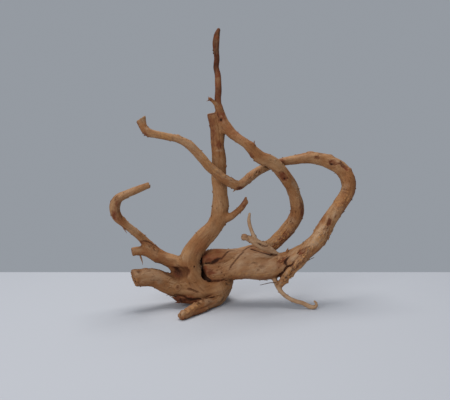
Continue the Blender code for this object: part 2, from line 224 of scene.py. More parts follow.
@dataclass(frozen=True)
class MarkLook:
    """How a kind of mark shapes and colours the wood, at depth 1, in millimetres and shares."""

    sunk: float = 0.0
    rim: float = 0.0
    eye: float = 0.0
    rough: float = 0.0
    ragged: float = 0.25
    edge: float = 0.3
    red: float = 0.0
    pale: float = 0.0
    dark: float = 0.0
    fleck: float = 0.0
    golden: float = 0.0


class MarkKind(Enum):
    """What a mark on the wood is, with its look."""

    KNOT = MarkLook(sunk=-0.5, rim=0.7, eye=0.5, ragged=0.15, red=0.6, dark=0.2)
    SCAR = MarkLook(sunk=0.6, rim=0.3, rough=0.3, ragged=0.35, edge=0.35, red=1.4, dark=0.2, fleck=0.1)
    # a pit's darkness is painted shade in the sunk wood
    PIT = MarkLook(sunk=1.5, rim=0.1, ragged=0.3, edge=0.5, red=0.5, dark=0.9)
    BARK = MarkLook(sunk=-0.4, rough=0.9, ragged=0.7, red=0.5, dark=0.1, fleck=0.5, golden=0.6)
    BURR = MarkLook(sunk=-1.6, ragged=0.4, edge=0.9, red=0.4, dark=0.1)
    # a dent's darkness is painted shade in the sunk wood
    DENT = MarkLook(sunk=0.6, ragged=0.4, edge=0.8, dark=0.25)
    # red-brown darkening: real stains, and painted shade on shaded edges and in hollows
    STAIN = MarkLook(ragged=0.6, edge=0.5, red=1.1, dark=0.4)
    BLUSH = MarkLook(ragged=0.5, edge=0.8, red=0.75)
    # paler wood: bare peeled patches, and painted highlights on lit tops and edges
    BARE = MarkLook(ragged=0.8, edge=1.0, pale=0.75)
    GOLDEN = MarkLook(ragged=0.6, edge=0.8, golden=0.9)


@dataclass(frozen=True)
class Mark:
    """A knot, scar or patch: where it is, and half its length and width."""

    kind: MarkKind
    place: Point
    length: float
    width: float
    depth: float = 1.0


def marked(*groups: tuple[MarkKind | tuple[float, ...], ...]) -> tuple[Mark, ...]:
    """Marks from groups of a kind and rows of x, y, z, half length, half width and any depth."""
    return tuple(Mark(kind, row[:3], *row[3:]) for kind, *rows in groups for row in rows)


@dataclass(frozen=True)
class Cut:
    """Where a limb ends: a point of the cut, the way it faces, and how ragged it is."""

    point: Point
    facing: Point
    ragged: float = 0.0


@dataclass(frozen=True)
class Limb:
    """One root or twig: its route with radii, and the ridges and marks along it."""

    name: str
    route: Route
    ridges: int = 3
    relief: float = 0.06
    turns: float = 0.5
    swell: float = 38.0
    fillet: float = FILLET_SHARE
    flute: float = 1.0
    red: float = 0.0
    pale: float = 0.0
    # strength of the painted shade on a hollow's wall; only hollows read it
    dark: float = 0.75
    cuts: tuple[Cut, ...] = ()
    marks: tuple[Mark, ...] = ()


@dataclass
class LimbReading:
    """What a limb's field says at some points."""

    skin: Array
    way: Array
    radius: Array
    along: Array
    angle: Array
    share: Array
    sawn: Array

    def part(self, chosen: Array) -> "LimbReading":
        """The reading at some of the points."""
        return LimbReading(*(getattr(self, one.name)[chosen] for one in fields(self)))


class LimbForm:
    """A limb read at close samples, with its tube, its distance field and its rough skin."""

    def __init__(self, limb: Limb) -> None:
        """Reads the limb's route.

        Args:
            limb: the limb.
        """
        self.limb = limb
        self.centres, self.radii, self.along = self.sampled(np.array(limb.route, float))
        self.across, self.beside = self.carried(self.centres)
        self.ways = unit(np.gradient(self.centres, axis=0))
        self.phase = sum(map(ord, limb.name)) % 7
        self.squares = (self.centres**2).sum(1)
        self.marks = [(mark, *self.spot(mark.place)) for mark in limb.marks]

    @staticmethod
    def sampled(knots: Array, step: float = SAMPLE_STEP) -> tuple[Array, Array, Array]:
        """Reads a Catmull-Rom curve through the knots at even steps.

        Between two knots the place is the Hermite cubic of the knots and of their slopes, which
        are the slopes of the line between their neighbours.

        Args:
            knots: rows of x, y, z and radius.
            step: the longest step.

        Returns:
            The centres, the radii and the lengths along the curve.
        """
        spans = np.linalg.norm(np.diff(knots[:, :3], axis=0), axis=1)
        at = np.concatenate([[0.0], np.cumsum(spans)])
        slopes = np.gradient(knots, at, axis=0)
        wanted = np.linspace(0.0, at[-1], max(4, math.ceil(at[-1] / step) + 1))
        i = np.clip(np.searchsorted(at, wanted, side="right") - 1, 0, len(spans) - 1)
        h = spans[i][:, None]
        t = ((wanted - at[i]) / spans[i])[:, None]
        rows = (
            (2 * t**3 - 3 * t**2 + 1) * knots[i]
            + (t**3 - 2 * t**2 + t) * h * slopes[i]
            + (3 * t**2 - 2 * t**3) * knots[i + 1]
            + (t**3 - t**2) * h * slopes[i + 1]
        )
        return rows[:, :3], rows[:, 3], wanted

    @staticmethod
    def carried(centres: Array) -> tuple[Array, Array]:
        """Finds two directions across the curve, carried along it without twisting.

        Args:
            centres: points along the curve.

        Returns:
            The direction across it and the one square to both, at each point.
        """
        ways = unit(np.gradient(centres, axis=0))
        first = np.cross(ways[0], (0.0, 1.0, 0.0))
        if np.linalg.norm(first) < 0.1:
            first = np.cross(ways[0], (1.0, 0.0, 0.0))
        across = np.empty_like(ways)
        across[0] = unit(first)
        for i in range(1, len(ways)):
            across[i] = unit(across[i - 1] - ways[i] * np.dot(across[i - 1], ways[i]))
        return across, np.cross(ways, across)

    def swelling(self, along: Array, angle: Array) -> Array:
        """What ridges, an oval and swellings multiply the radius by: 1 plus three sines.

        Args:
            along: how far along the limb.
            angle: at what angle round it.

        Returns:
            The factor there.
        """
        limb = self.limb
        twist = TURN * limb.turns * along / self.along[-1]
        ridge = np.sin(limb.ridges * angle + twist + self.phase)
        oval = np.sin(2 * angle - 0.6 * twist + 2.0 * self.phase)
        lump = np.sin(TURN * along / limb.swell + angle + 3.0 * self.phase)
        return 1 + limb.relief * (0.5 * ridge + 0.6 * oval + 0.5 * lump)

    def tube(self) -> tuple[Array, Faces]:
        """Carries a swelling ring along the curve, and closes each end with a point.

        Returns:
            The points and the faces.
        """
        turn = np.linspace(0, TURN, TUBE_SIDES, endpoint=False)
        arm = (self.radii[:, None] * self.swelling(self.along[:, None], turn[None]))[:, :, None]
        rings = self.centres[:, None] + arm * spun(self.across, self.beside, TUBE_SIDES)
        first, second, *_, third, last = self.centres
        ends = np.array([2 * first - second, 2 * last - third])
        return closed_tubes(rings[None], ends[None])

    def read(self, points: Array) -> LimbReading:
        """Reads the limb's field before its fine roughness and its cuts.

        The distance is that from the nearest point of the curve, less the radius there times the
        swelling.

        Args:
            points: where to read it.

        Returns:
            The reading.
        """
        nearest = np.empty(len(points), int)
        for start in range(0, len(points), BATCH):
            part = points[start : start + BATCH]
            nearest[start : start + BATCH] = (self.squares - 2 * part @ self.centres.T).argmin(1)
        spans = [self.beside_span(points, nearest - shift) for shift in (1, 0)]
        closer = spans[0][0] < spans[1][0]
        gap, first, t = (np.where(closer, a, b) for a, b in zip(spans[0][:3], spans[1][:3]))
        away = np.where(closer[:, None], spans[0][3], spans[1][3])
        radius = self.radii[first] * (1 - t) + self.radii[first + 1] * t
        along = self.along[first] * (1 - t) + self.along[first + 1] * t
        angle = np.arctan2((away * self.beside[first]).sum(1), (away * self.across[first]).sum(1))
        skin = gap - radius * self.swelling(along, angle)
        return LimbReading(skin, unit(away), radius, along, angle, gap / radius, 0 * skin)

    def beside_span(self, points: Array, first: Array) -> tuple[Array, Array, Array, Array]:
        """Measures points against the straight span after a sample.

        Args:
            points: the points.
            first: the sample that each one's span starts at.

        Returns:
            The gap, the sample, the share of the span passed, and the way from it to the point.
        """
        first = np.clip(first, 0, len(self.centres) - 2)
        base = self.centres[first]
        edge = self.centres[first + 1] - base
        t = np.clip(((points - base) * edge).sum(1) / (edge**2).sum(1), 0, 1)
        away = points - base - t[:, None] * edge
        return np.linalg.norm(away, axis=1), first, t, away

    def spot(self, place: Point) -> tuple[float, float]:
        """Where along the limb and at which angle round it a place lies."""
        reading = self.read(np.array([place], float))
        return float(reading.along[0]), float(reading.angle[0])

    def grain(self, reading: LimbReading) -> Array:
        """Places in the limb's own wood, each limb's far from the others'.

        Args:
            reading: the limb's field at the points.

        Returns:
            Two lengths across the grain, which slowly twists, and one along it.
        """
        turn = reading.angle + 0.012 * reading.along
        offset = 57.0 * self.phase + 13.0 * len(self.limb.name)
        across = [reading.radius * np.cos(turn), reading.radius * np.sin(turn)]
        return np.stack([*across, reading.along + offset], axis=1)

    def roughness(self, reading: LimbReading, grain: Array) -> Array:
        """Height of the flutes, grooves, lumps and fine chatter of the skin, in millimetres.

        The flutes and the grooves between them are noise stretched along the grain, the grooves
        sharp where the noise is 0. The lumps are noise about as long as the limb is thick, and the
        nubs are the peaks of a finer one. The thickest wood is calmer.

        Args:
            reading: the limb's field at the points.
            grain: the points in the limb's own wood.

        Returns:
            The height at each point.
        """
        calm = 1 - RELIEF.thick_calm * rise(*RELIEF.thick, reading.radius)
        vigour = self.limb.flute * calm * np.clip(reading.radius / RELIEF.usual_radius, *RELIEF.vigour)
        grooves = 1 - 2 * np.abs(FLUTES.at(grain / RELIEF.groove_cell + 31.0))
        where = rise(*RELIEF.groove_where, LUMPS.at(grain / RELIEF.groove_place + 7.0))
        height = RELIEF.flute_height * FLUTES.at(grain / RELIEF.flute_cell)
        height -= RELIEF.groove_depth * where * rise(*RELIEF.groove_edge, grooves)
        height += RELIEF.lump_height * LUMPS.at(grain / RELIEF.lump_cell)
        height += RELIEF.nub_height * rise(*RELIEF.nub_edge, RAGS.at(grain / RELIEF.nub_cell))
        return vigour * height + RELIEF.chatter_height * CHATTER.at(grain / RELIEF.chatter_cell)

    def mark_on(self, reading: LimbReading, grain: Array, looks: Array) -> Array:
        """Adds the limb's marks to its height and its colours.

        A mark is an oval in length along the limb and arc round it, its border bent by noise. Its
        look fades out across the edge; a rim stands on the border and an eye is sunk in the middle.

        Args:
            reading: the limb's field at the points.
            grain: the points in the limb's own wood.
            looks: rows of redness, paleness, darkness, flakiness and gold, which this changes.

        Returns:
            The height that the marks add at each point.
        """
        height = np.zeros(len(grain))
        for mark, along, angle in self.marks:
            near = np.nonzero(np.abs(reading.along - along) < MARK_FORM.reach * mark.length)[0]
            if not len(near):
                continue
            look = mark.kind.value
            turn = (reading.angle[near] - angle + math.pi) % TURN - math.pi
            oval = np.hypot(
                (reading.along[near] - along) / mark.length,
                turn * reading.radius[near] / mark.width,
            )
            size = min(mark.length, mark.width)
            rag = RAGS.at(grain[near] / np.multiply(MARK_FORM.rag_cell, size) + along)
            oval = oval * (1 + look.ragged * rag)
            inside = 1 - rise(1 - look.edge, 1.0 + 0.4 * look.edge, oval)
            rim = np.exp(-(((oval - MARK_FORM.rim_place) / MARK_FORM.rim_width) ** 2))
            eye = np.exp(-((oval / MARK_FORM.eye_width) ** 2))
            flakes = CHATTER.at(grain[near] / RELIEF.flake_cell + along)
            height[near] += mark.depth * (
                look.rim * rim - look.sunk * inside - look.eye * eye + look.rough * inside * flakes
            )
            strength = min(MARK_FORM.strongest, mark.depth)
            low = 0.75 - 0.6 * flakes
            fleck = look.fleck * rise(*MARK_FORM.fleck_edge, flakes)
            looks[near, RED] += strength * look.red * inside * low
            looks[near, PALE] += strength * inside * (look.pale + fleck)
            looks[near, DARK] += strength * look.dark * inside * np.maximum(low, 0)
            looks[near, DARK] += strength * MARK_FORM.eye_dark * look.eye * eye
            looks[near, FLAKY] += strength * look.rough * inside
            looks[near, GOLD] += strength * look.golden * inside
        return height

    def saw(self, reading: LimbReading, points: Array, fine: bool) -> None:
        """Cuts the limb's ends off, by the greater of its distance and the height over the cut.

        Args:
            reading: the limb's field at the points, which this changes.
            points: the points.
            fine: whether a break is ragged.
        """
        for end in self.limb.cuts:
            facing = unit(np.array(end.facing, float))
            from_cut = points - end.point
            over = from_cut @ facing
            if end.ragged and fine:
                over += end.ragged * RAGS.at(points / CUT_CELL)
            cut = (over > reading.skin) & (np.linalg.norm(from_cut, axis=1) < CUT_REACH)
            reading.skin = np.where(cut, over, reading.skin)
            reading.way = np.where(cut[:, None], facing, reading.way)
            reading.sawn = np.where(cut, 1.0 - 0.5 * (end.ragged > 0), reading.sawn)

    def reach(self, points: Array) -> Array:
        """Which points lie near enough to the limb's box to count."""
        most = self.radii.max() * (1 + 2 * self.limb.relief) + FIELD_REACH
        return near_line(points, self.centres, most)


def closed_tubes(rings: Array, ends: Array) -> tuple[Array, Faces]:
    """Joins rings of points by faces, and closes both ends of each tube on a point.

    Args:
        rings: points by tube, ring, side and axis.
        ends: the two closing points, by tube, end and axis.

    Returns:
        The points and the faces, which point outwards.
    """
    tubes, count, sides = rings.shape[:3]
    points = np.concatenate([rings.reshape(tubes, -1, 3), ends], axis=1)
    ring, side = np.divmod(np.arange((count - 1) * sides), sides)
    a = ring * sides + side
    b = ring * sides + (side + 1) % sides
    walls = np.stack([a, b, b + sides, a + sides], axis=1)
    side = np.arange(sides)
    after = (side + 1) % sides
    last = (count - 1) * sides
    first_fan = np.stack([after, side, np.full(sides, count * sides)], axis=1)
    last_fan = np.stack([last + side, last + after, np.full(sides, count * sides + 1)], axis=1)
    starts = np.arange(tubes)[:, None, None] * points.shape[1]
    faces: Faces = []
    for part in (walls, first_fan, last_fan):
        faces += (part + starts).reshape(-1, part.shape[1]).tolist()
    return points.reshape(-1, 3), faces


@dataclass(frozen=True)
class Crease:
    """A crack or fold drawn on the skin: its course with half its width, its depth and its painted shade."""

    route: Route
    depth: float = 1.0
    dark: float = 0.7


@dataclass(frozen=True)
class CrackLook:
    """How far a crack's depth, painted shade and redness go, in its half widths, and how red it is.

    Its ends fade over as many samples.
    """

    ends: Span = (-1.0, 4.0)
    wall: Span = (0.0, 1.7)
    # painted shade of the crack's gap
    dark: Span = (0.2, 1.4)
    red: Span = (0.6, 3.2)
    redness: float = 0.3


CRACK = CrackLook()


@dataclass
class Reading:
    """What the whole root's field says at some points."""

    distance: Array
    slope: Array
    grain: Array
    looks: Array
    share: Array
    sawn: Array


class RootField:
    """The smooth union of the limbs, less its hollows, creases and the ground."""

    def __init__(
        self, limbs: tuple[Limb, ...], hollows: tuple[Limb, ...], creases: tuple[Crease, ...]
    ) -> None:
        """Reads every route, and lays the creases onto the skin.

        Args:
            limbs: the root's limbs.
            hollows: the tubes that are carved away.
            creases: the thin cracks.
        """
        self.limbs = [LimbForm(limb) for limb in limbs]
        self.hollows = [LimbForm(hollow) for hollow in hollows]
        self.creases: list[tuple[Crease, Array, Array]] = []
        for crease in creases:
            course, widths, _ = LimbForm.sampled(np.array(crease.route, float), CREASE_STEP)
            self.creases.append((crease, self.settled(course, 3, carved=False), widths))

    def settled(self, points: Array, rounds: int, fine: bool = True, carved: bool = True) -> Array:
        """Draws points onto the skin.

        Each round moves a point down the distance's slope by the distance, at most LONGEST_MOVE.

        Args:
            points: the points.
            rounds: how often they move.
            fine: whether the skin has its roughness and marks.
            carved: whether it has its hollows and creases.

        Returns:
            The moved points.
        """
        points = points.copy()
        for _ in range(rounds):
            reading = self.read(points, fine, carved)
            move = np.clip(reading.distance, -LONGEST_MOVE, LONGEST_MOVE)
            points -= move[:, None] * reading.slope
        return points

    def runs(self, points: Array) -> Array:
        """Finds the way that the wood runs.

        Args:
            points: the points.

        Returns:
            The way of the nearest limb, at each point.
        """
        best = np.full(len(points), np.inf)
        ways = np.zeros((len(points), 3))
        for form in self.limbs:
            gaps = np.linalg.norm(points[:, None] - form.centres[None], axis=2) - form.radii
            nearest = gaps.argmin(1)
            gap = gaps.min(1)
            closer = gap < best
            best[closer] = gap[closer]
            ways[closer] = form.ways[nearest[closer]]
        return ways

    def read(self, points: Array, fine: bool = True, carved: bool = True) -> Reading:
        """Reads the root's field, cut off flat where it meets the ground.

        Args:
            points: where to read it.
            fine: whether roughness and marks count.
            carved: whether hollows and creases count.

        Returns:
            The reading.
        """
        count = len(points)
        slope, grain, looks = (np.zeros((count, width)) for width in (3, 3, GOLD + 1))
        far = np.full(count, FIELD_REACH)
        reading = Reading(far, slope, grain, looks, np.ones(count), np.zeros(count))
        for form in self.limbs:
            self.join(reading, form, points, fine)
        if carved:
            for form in self.hollows:
                self.carve(reading, form, points)
            inside = np.minimum(reading.distance, 0)
            for crease, course, widths in self.creases:
                self.crack(reading, crease, (course, widths), points, inside)
        under = -points[:, 2] > reading.distance
        reading.distance = np.where(under, -points[:, 2], reading.distance)
        reading.slope = unit(np.where(under[:, None], (0.0, 0.0, -1.0), reading.slope))
        reading.looks = np.clip(reading.looks, 0, 1)
        return reading

    @staticmethod
    def join(reading: Reading, form: LimbForm, points: Array, fine: bool) -> None:
        """Joins a limb to what has been read, its slope and looks in the distances' shares.

        Args:
            reading: the root's field so far, which this changes.
            form: the limb.
            points: where it is read.
            fine: whether roughness and marks count.
        """
        near = form.reach(points)
        if not len(near):
            return
        own = form.read(points[near])
        place = form.grain(own)
        colours = np.tile((form.limb.red, form.limb.pale, 0.0, 0.0, 0.0), (len(near), 1))
        close = np.nonzero(np.abs(own.skin) < FINE_REACH)[0] if fine else near[:0]
        if len(close):
            part = own.part(close)
            tint = colours[close]
            own.skin[close] -= form.roughness(part, place[close])
            own.skin[close] -= form.mark_on(part, place[close], tint)
            colours[close] = tint
        form.saw(own, points[near], fine)
        width = np.maximum(own.radius * form.limb.fillet, LEAST_FILLET)
        reading.distance[near], mix = blended(reading.distance[near], own.skin, width)
        for kept, new in ((reading.slope, own.way), (reading.looks, colours)):
            kept[near] = (1 - mix)[:, None] * kept[near] + mix[:, None] * new
        reading.sawn[near] = (1 - mix) * reading.sawn[near] + mix * own.sawn
        ahead = mix > 0.5
        reading.grain[near[ahead]] = place[ahead]
        reading.share[near[ahead]] = own.share[ahead]

    @staticmethod
    def carve(reading: Reading, form: LimbForm, points: Array) -> None:
        """Takes a hollow out: the smooth union of its inside and all that is outside the root.

        Args:
            reading: the root's field so far, which this changes.
            form: the hollow.
            points: where it is read.
        """
        near = form.reach(points)
        own = form.read(points[near])
        own.skin += HOLLOW_ROUGH * own.radius * RAGS.at(points[near] / HOLLOW_CELL)
        before = -reading.distance[near]
        width = np.maximum(own.radius * form.limb.fillet, LEAST_FILLET)
        outside, mix = blended(before, own.skin, width)
        reading.distance[near] = -outside
        reading.slope[near] = (1 - mix)[:, None] * reading.slope[near] - mix[:, None] * own.way
        # painted shade on the hollow's wall, darker deeper under the old skin
        reading.looks[near, DARK] += form.limb.dark * mix * rise(*HOLLOW_SHADE, before)
        reading.looks[near, RED] += HOLLOW_REDNESS * rise(*HOLLOW_RED, own.skin)

    @staticmethod
    def crack(
        reading: Reading,
        crease: Crease,
        line: tuple[Array, Array],
        points: Array,
        inside: Array,
    ) -> None:
        """Sinks a crease into the skin, painted shade as far as its sides and red a little beyond.

        Args:
            reading: the root's field so far, which this changes.
            crease: the crease.
            line: its course on the skin, and half its width there.
            points: where it is read.
            inside: how far under the skin each point lies, as a distance below 0.
        """
        course, widths = line
        near = near_line(points, course, 4 * widths.max())
        if not len(near):
            return
        squares = ((points[near][:, None] - course[None]) ** 2).sum(2)
        nearest = squares.argmin(1)
        gap = np.sqrt(squares.min(1)) / widths[nearest]
        ends = np.minimum(nearest, len(course) - 1 - nearest)
        fade = rise(*CRACK.ends, ends.astype(float))
        reading.distance[near] += crease.depth * fade * (1 - rise(*CRACK.wall, gap))
        beside = np.sqrt(np.clip(gap**2 - (inside[near] / widths[nearest]) ** 2, 0, None))
        reading.looks[near, DARK] += crease.dark * fade * (1 - rise(*CRACK.dark, beside))
        reading.looks[near, RED] += CRACK.redness * fade * (1 - rise(*CRACK.red, gap))


K = MarkKind  # short for the marks' rows

